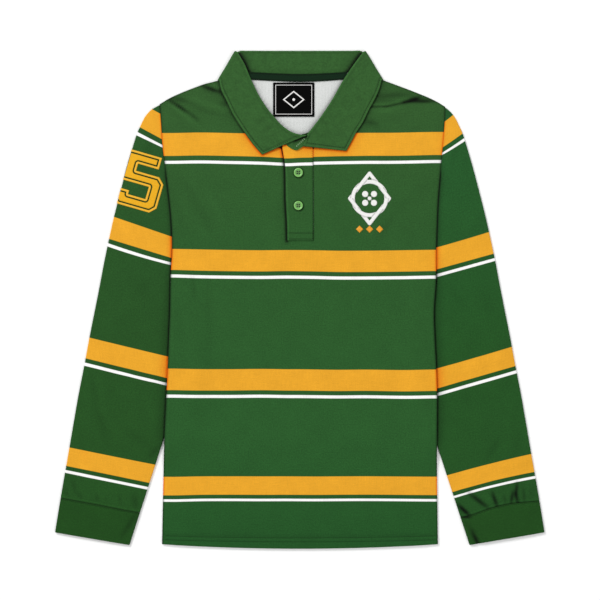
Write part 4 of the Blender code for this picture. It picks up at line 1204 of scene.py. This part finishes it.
# %% The leaf and the stand
# Each row as in CREASES, with its painted shade in the last column.
LEAF_CREASES = {
    "left": [
        ((-52, 270), (-64, 262), 2.6, -0.4, 0.12), ((-40, 262), (-60, 246), 2.6, -0.4, 0.14),
        ((-66, 300), (-78, 288), 3.0, -0.3, 0.08), ((-28, 250), (-46, 240), 2.4, -0.3, 0.10),
        ((-58, 282), (-76, 270), 3.0, 0.3, -0.05), ((-88, 330), (-104, 318), 4.0, -0.3, 0.05),
    ],
    "right": [
        ((46, 262), (62, 252), 3.0, -0.3, 0.08), ((26, 246), (40, 238), 2.6, -0.3, 0.10),
        ((70, 300), (86, 290), 4.0, -0.3, 0.05), ((60, 285), (78, 272), 4.0, 0.3, -0.04),
    ],
}


def leaf_level(points):
    """The middle of the leaf where it rests on the front, the placket and the buttonhole tab."""
    centre = 1 - smooth((np.abs(points[..., 0] + 3) - 28) / 22)
    return front_under(points) + CLOTH + LEAF_OVER_FRONT + LEAF_OVER_PLACKET * centre + LEAF / 2


def leaf_row(section):
    """A lead on the stand's level, the roll at the crease, and the leaf itself."""
    roll = (LEAF_Z["front"] - STAND_Z["front"]) / 2
    crease, edge = section["crease"], section["edge"]
    down = unit(edge - crease)
    middle = crease + down * (roll + LEAF / 2)
    mid_front, mid_back = [(LEAF_Z[k] + STAND_Z[k]) / 2 for k in ("front", "back")]
    ones = np.ones(1)
    lead = place(crease[None] + down * LEAF_LEAD, STAND_Z["front"] * ones, STAND_Z["back"] * ones, section)
    up, back = np.sin(ROLL_ANGLES) * roll, np.cos(ROLL_ANGLES) * roll
    turned = place(middle - down * back[:, None], mid_front + up, mid_back - up, section)
    flat = mix(middle, edge, LEAF_SHARES[:, None])
    side = section["side"]
    near = 0.0 if side == "back" else max(0.0, 1 - section["share"] / KNEE_REACH) ** 2
    if near > 0:
        knee = np.array(LEAF_KNEE[side]) - mix(CREASE[side].at(0.0), LEAF_EDGE[side].at(0.0), KNEE_SHARE)
        weight = np.where(LEAF_SHARES < KNEE_SHARE, LEAF_SHARES / KNEE_SHARE,
                          (1 - LEAF_SHARES) / (1 - KNEE_SHARE))
        flat = flat + knee * near * weight[:, None]
    z_front = mix(LEAF_Z["front"], leaf_level(flat), np.minimum(LEAF_SHARES / 0.6, 1.0))
    if side != "back":
        z_front = z_front + height_of(flat, LEAF_CREASES[side])
    rest = place(flat, z_front, LEAF_Z["back"] + 0 * z_front, section)
    return np.concatenate([lead, turned, rest])


def stand_row(section):
    crease, neck = section["crease"], section["neck"]
    down = unit(section["edge"] - crease)
    share = np.linspace(0, 1, STAND_CELLS + 1)
    flat = mix(crease + down * (LEAF_LEAD + SEAM), neck, share[:, None])
    z_front = mix(STAND_Z["front"], front_under(neck) + CLOTH / 2, share)
    z_back = mix(STAND_Z["back"], back_under(neck) + CLOTH / 2, share)
    return place(flat, z_front, z_back, section)


def tab_rows():
    """The buttonhole tab, from its tip to where the stand begins."""
    rows = []
    for key in np.linspace(0, 3, 25)[:-1]:
        ends = [np.array([TAB.at(edge + "_x", key), TAB.at(edge + "_y", key), TAB_Z[edge]])
                for edge in ("upper", "lower")]
        rows.append(mix(*ends, np.linspace(0, 1, STAND_CELLS + 1)[:, None]))
    return rows


# %% The collar's tone
def leaf_tone(points):
    """Painted shade at the leaf's outer edge, along the topstitching, a little in from the crease and in its
    creases, and painted highlights on the raised edge just inside the outer edge and beside the crease.
    """
    tone = np.ones(points.shape[:2])
    for side in SIDE_NAMES:
        gap = distance_to_line(points[..., :2], leaf_outline(side))
        near = (sign(side) * points[..., 0] > (-12 if side == "left" else 0)) & (points[..., 2] > 3.5)
        dark = shadow(gap, "edge of leaf") + beside(points[..., :2], CREASE[side].points, "fold of leaf")
        tone -= np.where(near, dark + painted_shade_of(points[..., :2], LEAF_CREASES[side]), 0)
    return np.clip(tone, 0.2, 1.3)


STAND_LIT_Y = 352


def stand_tone(points):
    """Painted shadow where the folded leaf stands over the back of the neck, and on the buttonhole tab along
    the left leaf's end, the rest of the tab a little lighter; painted shade low on the back stand towards the
    neck tape, with a faint painted highlight just above the tape.
    """
    tone = np.ones(points.shape[:2])
    back = points[..., 2] < 4.2
    for side in SIDE_NAMES:
        tone -= np.where(back, beside(points[..., :2], CREASE[side].points, "leaf over stand"), 0)
    low = STAND_LIT_Y - points[..., 1]
    tone -= np.where(back, 0.10 * smooth(low / 12) + shadow(low, "stand over tape"), 0)
    ends = beside(points[..., :2], leaf_outline("left")[:2], "leaf on tab")
    tone -= np.where(~back & (points[..., 1] < 250), ends - 0.06, 0)
    return np.clip(tone, 0.05, 1.2)


# %% The collar's two pieces
LEFT_TIP_SECTIONS = 14
sections = collar_sections()
leaf_points = np.array([leaf_row(section) for section in sections])
stand_points = np.array(tab_rows() + [stand_row(section) for section in sections[LEFT_TIP_SECTIONS:]])
leaf = add_shell("collar_leaf_shell", leaf_points, LEAF, ["collar_leaf"], [collar_cloth],
                 tone=leaf_tone(leaf_points), offset=0.0, round_off=0.5)
stand = add_shell("collar_stand_shell", stand_points, STAND, ["collar_stand"],
                  [collar_cloth], tone=stand_tone(stand_points), offset=0.0, round_off=0.4)

# %% [markdown]
# ## The placket, the neck tape and the label
# The placket is a strip on each side of the neck opening. The upper strip overlaps from the right and
# is free along its left edge. A tape covers the back neck seam inside, and the label hangs from it.

# %% Strips
def placket_lift(across, y):
    """How far the upper strip is above the front: over it at the left edge and at the foot."""
    foot = 1 - smooth((y - SLIT_Y - 2) / 18)
    return (CLOTH + SEAM) * np.maximum(across, foot)


def upper_placket_points():
    share, across = np.meshgrid(np.linspace(0, 1, 120), np.linspace(1, 0, 45), indexing="ij")
    ends = [SLIT_EDGES.at("right", 228) - SEAM, SLIT_EDGES.at("placket", 228)]
    y = mix(PLACKET_FOOT_Y, PLACKET_TOP.at("y", mix(*ends, across)), share)
    x = mix(SLIT_EDGES.at("right", y) - SEAM, SLIT_EDGES.at("placket", y), across)
    flat = xy(x, y)
    return raised(flat, front_under(flat) + placket_lift(across, y))


def under_placket_points():
    share, across = np.meshgrid(np.linspace(0, 1, 40), np.linspace(0, 1, 13), indexing="ij")
    y = mix(SLIT_Y + SEAM, UNDER_PLACKET_TOP_Y, share)
    x = mix(SLIT_EDGES.at("left", y) + SEAM, UNDER_PLACKET_RIGHT, across)
    flat = xy(x, y)
    return raised(flat, front_under(flat) - 0.2 - 1.2 * across)


def tape_points():
    share, across = np.meshgrid(np.linspace(0, 1, 9), np.linspace(-77, 71, 75), indexing="ij")
    y = mix(TAPE.at("foot", across), TAPE.at("top", across), share)
    low = xy(across, np.minimum(y, 337))
    return raised(xy(across, y), back_under(low) + CLOTH + SEAM)


def label_points():
    y, x = np.meshgrid(np.linspace(*LABEL_BOX["y"], 30), np.linspace(*LABEL_BOX["x"], 36), indexing="ij")
    flat = xy(x, y)
    return raised(flat, back_under(flat) + CLOTH + SEAM)


placket_top = upper_placket_points()
placket_flat = placket_top[..., :2]
placket_place = placket_flat + xy(0 * placket_flat[..., 0], stripe_drop(placket_flat) + 0.9)


# %% The placket's painted shade
PLACKET_STITCHES = (99.2, 90.2)


# Painted shade on the upper strip: beside its free edge and its seam, under the collar's leaves, along its
# stitched lines and round each button, with a painted highlight just inside its free edge.
def placket_tone(points):
    left = distance_to_line(points, PLACKET_EDGE)
    right = distance_to_line(points, RIGHT_SEAM)
    tone = 1 - shadow(left, "edge of placket") - shadow(right, "seam of placket")
    for side in SIDE_NAMES:
        tone -= beside(points, leaf_outline(side), side + " leaf on placket")
    for y in PLACKET_STITCHES:
        tone -= shadow(points[..., 1] - y, "placket stitches") * (left > 1.8)
    for button_y in BUTTON_YS.values():
        gap = np.hypot(points[..., 0] - BUTTON_X - 0.4, points[..., 1] - button_y + 1.3)
        tone -= shadow(gap, "button on placket")
    return np.clip(tone, 0.1, 1.3)


# %% The placket, the tape and the label
placket = add_shell("placket_upper_shell", placket_top, TRIM, ["placket_upper"],
                    [body_jersey], flat=placket_place, tone=placket_tone(placket_flat), round_off=0.35)
under_placket = add_shell("placket_under_shell", under_placket_points(), TRIM,
                          ["placket_under"], [body_jersey], round_off=0.35)
TAPE_ROWS = (0.14, 0.86)
tape_top = tape_points()
# The tape's tone: painted shade in the grooves of its two stitched rows.
tape_rim = np.min([np.abs(np.linspace(0, 1, 9) - row) for row in TAPE_ROWS], axis=0)[:, None]
tape = add_shell("neck_tape_shell", tape_top, TRIM, ["neck_tape"], [tape_cloth], round_off=0.3,
                 tone=np.clip(1.15 - 0.7 * (tape_rim < 0.06) + 0 * tape_top[..., 0], 0.3, 1.2))
label = add_shell("neck_label_shell", label_points(), TRIM, ["neck_label"], [label_cloth],
                  round_off=0.3)

# %% [markdown]
# ## The buttons
# Dyed polyester resin, cast in rods and turned, so each has a rounded rim and a dished face with four
# holes. A square grid is bent into a disc, so that its cells stay even, and its heights follow the
# turned profile. A dark tone in the sunk holes stands for the thread and is painted shade in them, and the
# tone also gives painted shade on the dish and the outer side and a painted highlight on the rim.

# %% Turned buttons
BUTTON_REACH, BUTTON_CELLS, HOLE_AT, HOLE = 6.9, 64, 1.65, 1.15
HOLE_DEPTH, HOLE_DARK, HOLE_RIM = 1.1, 0.93, 0.35
# Each row: the radius, the height, and the tone: painted shade on the dish and the outer side, and a painted
# highlight on the rim.
PROFILE = Table(
    "r z tone",
    [
        (0, 1.35, 0.42), (2.6, 1.35, 0.5), (3.3, 1.35, 0.75), (3.9, 1.35, 0.75), (4.5, 1.5, 0.7),
        (5.1, 2.2, 0.95), (5.7, 2.4, 1.1), (6.3, 2.2, 1.0), (6.75, 1.6, 0.7), (6.9, 0.9, 0.4),
    ],
)


def resin():
    """Polyester resin, a little cloudy. The attribute "tone" gives painted shade on its dish and outer side,
    a painted highlight on its rim, and darkens its holes for the thread and their shade.
    """
    made, tree, shader = new_material("green polyester resin")
    place_at = add_node(tree, "TexCoord", out="Object")
    face = shade(tree, "#79B75F", mottle(tree, place_at, 3.0, 0.92, 1.08),
                 add_node(tree, "Attribute", out="Fac", attribute_name="tone"))
    fill(shader, {"Base Color": face, "Roughness": 0.3, "IOR": 1.55})
    return made


# %% The buttons' shape
def button_points(centre, floor):
    """A square grid bent into a disc, and its tones: painted shade and highlight, and the dark holes."""
    a, b = np.meshgrid(*[np.linspace(-1, 1, BUTTON_CELLS + 1)] * 2)
    square, circle = np.maximum(np.abs(a), np.abs(b)), np.maximum(np.hypot(a, b), 1e-9)
    r = square * BUTTON_REACH
    x, y = a / circle * r, b / circle * r
    hole = np.min([np.hypot(x - dx, y - dy) for dx in (-HOLE_AT, HOLE_AT) for dy in (-HOLE_AT, HOLE_AT)], 0)
    deep = 1 - smooth((hole - HOLE + 0.2) / HOLE_RIM)
    z, tone = [np.interp(r, PROFILE.columns["r"], PROFILE.columns[name]) for name in ("z", "tone")]
    z, tone = z - HOLE_DEPTH * deep, tone * (1 - HOLE_DARK * deep)
    return raised(xy(x, y) + centre, z + floor), tone


# %% Both buttons
button_resin = resin()
BUTTON_DROP = 0.8
for name, button_y in BUTTON_YS.items():
    centre = np.array([BUTTON_X, button_y - BUTTON_DROP])
    spots = centre + BUTTON_REACH * np.array([(i, j) for i in (-1, 0, 1) for j in (-1, 0, 1)])
    edges = SLIT_EDGES.at("placket", spots[:, 1]), SLIT_EDGES.at("right", spots[:, 1]) - SEAM
    share = (edges[1] - spots[:, 0]) / (edges[1] - edges[0])
    level = float(np.max(front_under(spots) + placket_lift(share, spots[:, 1]))) + TRIM + 0.2
    points, tone = button_points(centre, level)
    add_piece(name + "_turned", cloth_mesh(name + "_turned", points, tone=tone), [name],
              [button_resin])

# %% [markdown]
# ## Motifs
# The badge on the chest, the numeral on the sleeve and the label's motif are raised patches. Each is
# drawn by one function that says how deep inside the motif a point lies. A grid keeps the cells that
# touch the motif, its outline points are pulled onto depth zero, and the depth gives the padding.

# %% A raised patch
# The tone at a motif's outline, rising to 1 where the padding is full: painted shade on the sloping rim.
RIM_SHADE_TONE = 0.72


def motif(name, box, cell, depth, put, base, height, rim, finish):
    """box: x and y ranges. depth: millimetres inside the motif. put: places points at a lift."""
    x, y = np.meshgrid(np.arange(*box[0], cell), np.arange(*box[1], cell))
    flat = xy(x, y)
    inside_by = depth(flat)
    slope_y, slope_x = np.gradient(inside_by, cell)
    slope = xy(slope_x, slope_y)
    steep = np.maximum((slope**2).sum(-1), 0.3)[..., None]
    pulled = flat - slope * np.maximum(inside_by, -1.5 * cell)[..., None] / steep
    flat = np.where((inside_by < 0)[..., None], pulled, flat)
    near = np.pad(inside_by > 0, 1)
    beside_it = sum(near[1 + i : near.shape[0] - 1 + i, 1 + j : near.shape[1] - 1 + j]
                    for i in (-1, 0, 1) for j in (-1, 0, 1)) > 0
    padded = np.clip(inside_by / rim, 0, 1)
    points = put(flat, base + height * np.sqrt(padded))
    points[~beside_it] = np.nan
    add_piece(name, cloth_mesh(name, points, flat, tone=mix(RIM_SHADE_TONE, 1, padded)), (), [finish])


# %% Embroidery threads
def thread(name, code, spacing, lean, gloss):
    """Embroidery in lustrous polyester thread: fine slanted ridges, each a thread of a satin stitch."""
    made, tree, shader = new_material(name)
    at = add_node(tree, "UVMap", uv_map="cloth")
    split = add_node(tree, "SeparateXYZ", {"Vector": at}).node.outputs
    wave = ridges(tree, split["Y"], split["X"], lean, spacing)
    # The attribute "tone" brings in the painted shade on a motif's sloping rim.
    face = shade(tree, code, mottle(tree, at, 2.5, 0.93, 1.06),
                 add_node(tree, "MapRange", [wave, -1.0, 1.0, 0.86, 1.05]),
                 add_node(tree, "Attribute", out="Fac", attribute_name="tone"))
    bump = add_node(tree, "Bump", {"Strength": 0.5, "Distance": 0.12 * MM, "Height": wave})
    fill(shader, {"Base Color": face, "Normal": bump, "Roughness": 0.5, "Specular IOR Level": gloss})
    return made


white_thread = thread("white satin stitch", "#EEEDEA", 0.8, 0.7, 0.3)
gold_thread = thread("gold satin stitch", "#E39A1C", 0.8, -0.7, 0.3)
yellow_satin = thread("yellow satin stitch", "#EDB22C", 0.8, 0.5, 0.25)
yellow_felt = thread("yellow felt", "#E3A823", 2.4, 1.3, 0.05)
dark_felt = thread("dark green felt", "#173A16", 2.4, 1.3, 0.05)

# %% Surfaces to sew on
graph = bpy.context.evaluated_depsgraph_get()
UPRIGHT = Vector((0, 0, -1))


def surface_of(piece):
    return BVHTree.FromObject(piece, graph)


def level_at(surface, points, otherwise=0.0):
    """The surface's height from above at each point, in millimetres."""
    flat = points.reshape(-1, 2)
    heights = np.full(len(flat), otherwise)
    for k, (x, y) in enumerate(flat):
        hit = surface.ray_cast(Vector((x, y, 40)) * MM, UPRIGHT)[0]
        if hit is not None:
            heights[k] = hit.z / MM
    return heights.reshape(points.shape[:-1])


front_top, label_top = surface_of(front_panel), surface_of(label)

# %% The badge
BADGE = np.array([104.5, 151.0])
RING, RING_BAND, LOZENGE, LOZENGE_BAND, CLEAR = 25.0, 3.0, (29.5, 37.5), 2.8, 0.9


def on_front(flat, lift):
    return raised(flat, level_at(front_top, flat) + lift)


def badge_depth(points):
    """A ring and a lozenge that pass over and under each other in turn, round a small flower."""
    at = points - BADGE
    r = np.hypot(at[..., 0], at[..., 1])
    ring = RING_BAND - np.abs(r - RING)
    gap, along_side = gap_and_share(np.abs(at), (LOZENGE[0], 0.0), (0.0, LOZENGE[1]))
    lozenge = LOZENGE_BAND - gap
    foot = LOZENGE[0] ** 2 / (LOZENGE[0] ** 2 + LOZENGE[1] ** 2)
    ring_on_top = (along_side > foot) == (at[..., 0] * at[..., 1] > 0)
    ring_cut = np.where(ring_on_top, ring, np.minimum(ring, gap - LOZENGE_BAND - CLEAR))
    lozenge_cut = np.where(ring_on_top, np.minimum(lozenge, np.abs(r - RING) - RING_BAND - CLEAR), lozenge)
    petals = np.max([4.7 - np.hypot(at[..., 0] - dx, at[..., 1] - dy)
                     for dx, dy in ((6.6, 6.6), (-6.6, 6.6), (6.6, -6.6), (-6.6, -6.6))], axis=0)
    return np.max([ring_cut, lozenge_cut, petals, 3.0 - r], axis=0)


def gold_depth(points):
    """Three small lozenges in a row under the badge."""
    at = np.abs(points - (BADGE - np.array([0, 46.0])))
    shifted = np.minimum(at[..., 0], np.abs(at[..., 0] - 15.0))
    return (5.6 - shifted - at[..., 1]) / math.sqrt(2)


motif("chest_badge", ((68, 142), (108, 194)), 0.6, badge_depth, on_front, 0.06, 0.75, 1.0,
      white_thread)
motif("chest_lozenges", ((80, 130), (97, 114)), 0.6, gold_depth, on_front, 0.06, 0.7, 1.0,
      gold_thread)

# %% The label's motif
LABEL_MIDDLE = np.array([sum(LABEL_BOX["x"]) / 2, sum(LABEL_BOX["y"]) / 2])


def label_depth(points):
    """A thin frame near the label's edge, and a lozenge with a dot in it."""
    at = np.abs(points - LABEL_MIDDLE)
    frame_in = np.minimum(27.5 - at[..., 0], 22.2 - at[..., 1])
    frame_line = 0.45 - np.abs(frame_in - 0.5)
    lozenge = 0.9 - np.abs((1 - at[..., 0] / 15 - at[..., 1] / 12) * 9.4)
    return np.max([frame_line, lozenge, 2.0 - np.hypot(at[..., 0], at[..., 1])], axis=0)


def on_label(flat, lift):
    return raised(flat, level_at(label_top, flat) + lift)


motif("label_motif", ((-38, 20), (275.5, 323)), 0.4, label_depth, on_label, 0.03, 0.15, 0.5,
      white_thread)

# %% The numeral
NUMERAL_FOOT = np.array([-216.0, 126.9])
NUMERAL_RIGHT, NUMERAL_UP = np.array([0.961, -0.276]), np.array([0.276, 0.961])
FIVE = [(-66, 84), (-14, 84), (-14, 66), (-46, 66), (-46, 55), (-10, 55), (-1, 46), (-1, 9), (-10, 0),
        (-60, 0), (-68, 8), (-68, 24), (-48, 24), (-48, 18), (-21, 18), (-21, 37), (-66, 37)]
SATIN_BAND, INLINE = 3.3, 1.9
FOLD_OUT, FOLD_TURN, FOLD_WIDE, FOLD_HIGH = np.array([-0.944, 0.33]), 2.3, 1.5, SLEEVE_HEIGHT / 2
outer_fold = sleeve_edges("left", np.linspace(1, 14, 60))[0]
sleeve_top = surface_of(sleeves["left"])


def on_sleeve(flat, lift):
    """Places points in the numeral's own frame on the sleeve, and bends them round its outer fold."""
    at = NUMERAL_FOOT + flat[..., :1] * NUMERAL_RIGHT + flat[..., 1:] * NUMERAL_UP
    fold_x = np.interp(at[..., 1], outer_fold[::-1, 1], outer_fold[::-1, 0])
    within = distance_to_line(at, outer_fold) * np.sign(at[..., 0] - fold_x)
    past = FOLD_WIDE - within
    turn = np.maximum(past, 0) / FOLD_HIGH
    bent = at + FOLD_OUT * ((FOLD_WIDE + lift) * np.sin(turn) - np.maximum(past, 0))[..., None]
    over = FOLD_HIGH + (FOLD_HIGH + lift) * np.cos(turn)
    flat_level = level_at(sleeve_top, at, 2 * FOLD_HIGH) + lift
    placed = raised(np.where((past > 0)[..., None], bent, at), np.where(past > 0, over, flat_level))
    placed[turn > FOLD_TURN] = np.nan
    return placed


NUMERAL_BOX = ((-72, 3), (-3, 88))
motif("numeral_ground", NUMERAL_BOX, 1.1, lambda at: depth_inside(at, FIVE), on_sleeve, 0.05, 0.3, 0.6,
      dark_felt)
motif("numeral_edge", NUMERAL_BOX, 0.8,
      lambda at: SATIN_BAND / 2 - np.abs(depth_inside(at, FIVE) - SATIN_BAND / 2), on_sleeve, 0.3, 0.55, 0.8,
      yellow_satin)
motif("numeral_fill", NUMERAL_BOX, 1.0, lambda at: depth_inside(at, FIVE) - SATIN_BAND - INLINE,
      on_sleeve, 0.3, 0.5, 0.7, yellow_felt)

# %% [markdown]
# ## Stitching
# A machine stitch is a short thread that dips into the cloth at both ends, so each is a slim rounded
# bead with two dozen faces. A row of them follows a line, on whatever surface lies under it.

# %% Rows of stitches
PITCH, STITCH_SIZE, STITCH_LIFT, BEYOND_ROLL = 3.1, (2.5, 0.6, 0.5), 0.02, 14


def along(line, pitch):
    """Points spaced evenly along a line of corners."""
    line = np.array(line, float)
    length = np.concatenate([[0], np.cumsum(np.linalg.norm(np.diff(line, axis=0), axis=1))])
    at = np.arange(pitch / 2, length[-1], pitch)
    return np.stack([np.interp(at, length, line[:, k]) for k in (0, 1)], -1)


def stitch_rows(name, surface, lines, finish):
    """One piece of many stitches. They lie on the surface, half sunk into it."""
    bm = bmesh.new()
    depth = bm.verts.layers.float.new("tone")
    size = Matrix.Diagonal((*[MM * part for part in STITCH_SIZE], 1))
    for line in lines:
        spots = along(line, PITCH)
        heading = np.gradient(spots, axis=0)
        heights = level_at(surface, spots, np.nan)
        for (x, y), (dx, dy), z in zip(spots, heading, heights):
            if not np.isnan(z):
                turn = Matrix.Rotation(math.atan2(dy, dx), 4, "Z")
                where = Matrix.Translation(Vector((x, y, z + STITCH_LIFT)) * MM)
                bmesh.ops.create_uvsphere(bm, u_segments=6, v_segments=4, radius=0.5,
                                          matrix=where @ turn @ size)
    for vert in bm.verts:
        vert[depth] = 1.0
    add_piece(name, as_mesh(name, bm), (), [finish])


# %% Where the stitches run
def hem_curve(y):
    return [(x, y - STITCH_SAG * (1 - (x / HEM_HALF) ** 2)) for x in np.linspace(-202, 203, 60)]


def leaf_lines(side):
    """Topstitching round a leaf: across its short end, and along its outer edge."""
    first = TOPSTITCH / CREASE[side].length[-1]
    end = leaf_row(front_section(side, first))[BEYOND_ROLL:, :2]
    end = end[np.linalg.norm(end - end[-1], axis=1) > TOPSTITCH * 0.8]
    edge = []
    for share in np.linspace(first, 0.97, 50):
        section = front_section(side, share)
        edge.append(section["edge"] + unit(section["crease"] - section["edge"]) * TOPSTITCH)
    return [end, edge]


def cuff_line(side):
    """Two millimetres below the seam."""
    return [(x + sign(side) * 0.4, y - 2.0) for x, y in CUFF_SEAM[side]]


# %% All the rows
leaf_top, placket_surface, tape_surface = surface_of(leaf), surface_of(placket), surface_of(tape)
stitch_rows("hem_stitches", front_top, [hem_curve(y) for y in HEM_STITCHES], green_thread)
for side in SIDE_NAMES:
    stitch_rows("leaf_stitches_" + side, leaf_top, leaf_lines(side), green_thread)
    stitch_rows("cuff_stitches_" + side, surface_of(cuffs[side]), [cuff_line(side)],
                green_thread)
stitch_rows("tab_buttonhole", surface_of(stand),
            [[(-6.2, 228.6), (6.6, 240.4)], [(-5.4, 227.8), (7.4, 239.6)]], pale_thread)
stitch_rows("placket_stitches", placket_surface,
            [[(-16.5, y), (18.6, y)] for y in PLACKET_STITCHES] + [[(18.9, 90), (18.7, 147), (18.4, 224)]],
            green_thread)
stitch_rows("tape_stitches", tape_surface,
            [[(x, mix(TAPE.at("foot", x), TAPE.at("top", x), share))
              for x in np.linspace(-75, 69, 30)] for share in TAPE_ROWS], green_thread)

# %% [markdown]
# ## The cloth
# Every piece of cloth is a sheet that was cut flat.

# %% [markdown]
# ## Camera, light and floor
# The photograph looks straight down on the shirt. Its frame covers 900 mm, so a 100 mm lens on a 36 mm
# sensor hangs 2.5 m above. A soft light far off at the upper left gives the creases their shadows, and
# an even fill with a weaker light opposite keeps them open, as in a catalogue photograph.

# %% Studio
scene = bpy.context.scene
scene.view_settings.view_transform = "Standard"
scene.view_settings.look = "None"
camera_data = bpy.data.cameras.new("Camera")
camera_data.lens, camera_data.sensor_width = 100, 36
camera_data.clip_start, camera_data.clip_end = 0.1, 20
camera = bpy.data.objects.new("Camera", camera_data)
# The photograph's middle is a little right of the origin and below it.
camera.location = (0.0003, -0.00105, 2.5)
scene.collection.objects.link(camera)
scene.camera = camera

world = bpy.data.worlds.new("Studio")
world.use_nodes = True
world.node_tree.nodes["Background"].inputs["Color"].default_value = (1, 1, 1, 1)
world.node_tree.nodes["Background"].inputs["Strength"].default_value = 0.62
scene.world = world

LIGHTS = Table("x y z size watts", [(-2.9, 3.2, 3.6, 1.7, 190), (2.6, -2.4, 4.4, 3.2, 70)])
for k, (x, y, z, size, watts) in enumerate(zip(*LIGHTS.columns.values())):
    data = bpy.data.lights.new(f"Softbox {k + 1}", "AREA")
    data.shape, data.size, data.energy = "SQUARE", float(size), float(watts)
    lamp = bpy.data.objects.new(data.name, data)
    lamp.location = (x, y, z)
    lamp.rotation_mode = "QUATERNION"
    lamp.rotation_quaternion = Vector((x, y, z)).to_track_quat("Z", "Y")
    scene.collection.objects.link(lamp)


# %% The floor
FLOOR_REACH, FLOOR_GAP = 14.0, 0.0004


def floor():
    """A sheet of white paper, just under the shirt, that reaches past every view."""
    bm = bmesh.new()
    bmesh.ops.create_grid(bm, x_segments=1, y_segments=1, size=FLOOR_REACH)
    bmesh.ops.translate(bm, verts=bm.verts, vec=(0, 0, -FLOOR_GAP))
    made, tree, shader = new_material("white paper")
    fill(shader, {"Base Color": colour("#F8F8F8"), "Roughness": 0.9, "Specular IOR Level": 0.1})
    ground = bpy.data.objects.new("Floor", as_mesh("Floor", bm))
    ground.data.materials.append(made)
    scene.collection.objects.link(ground)


floor()
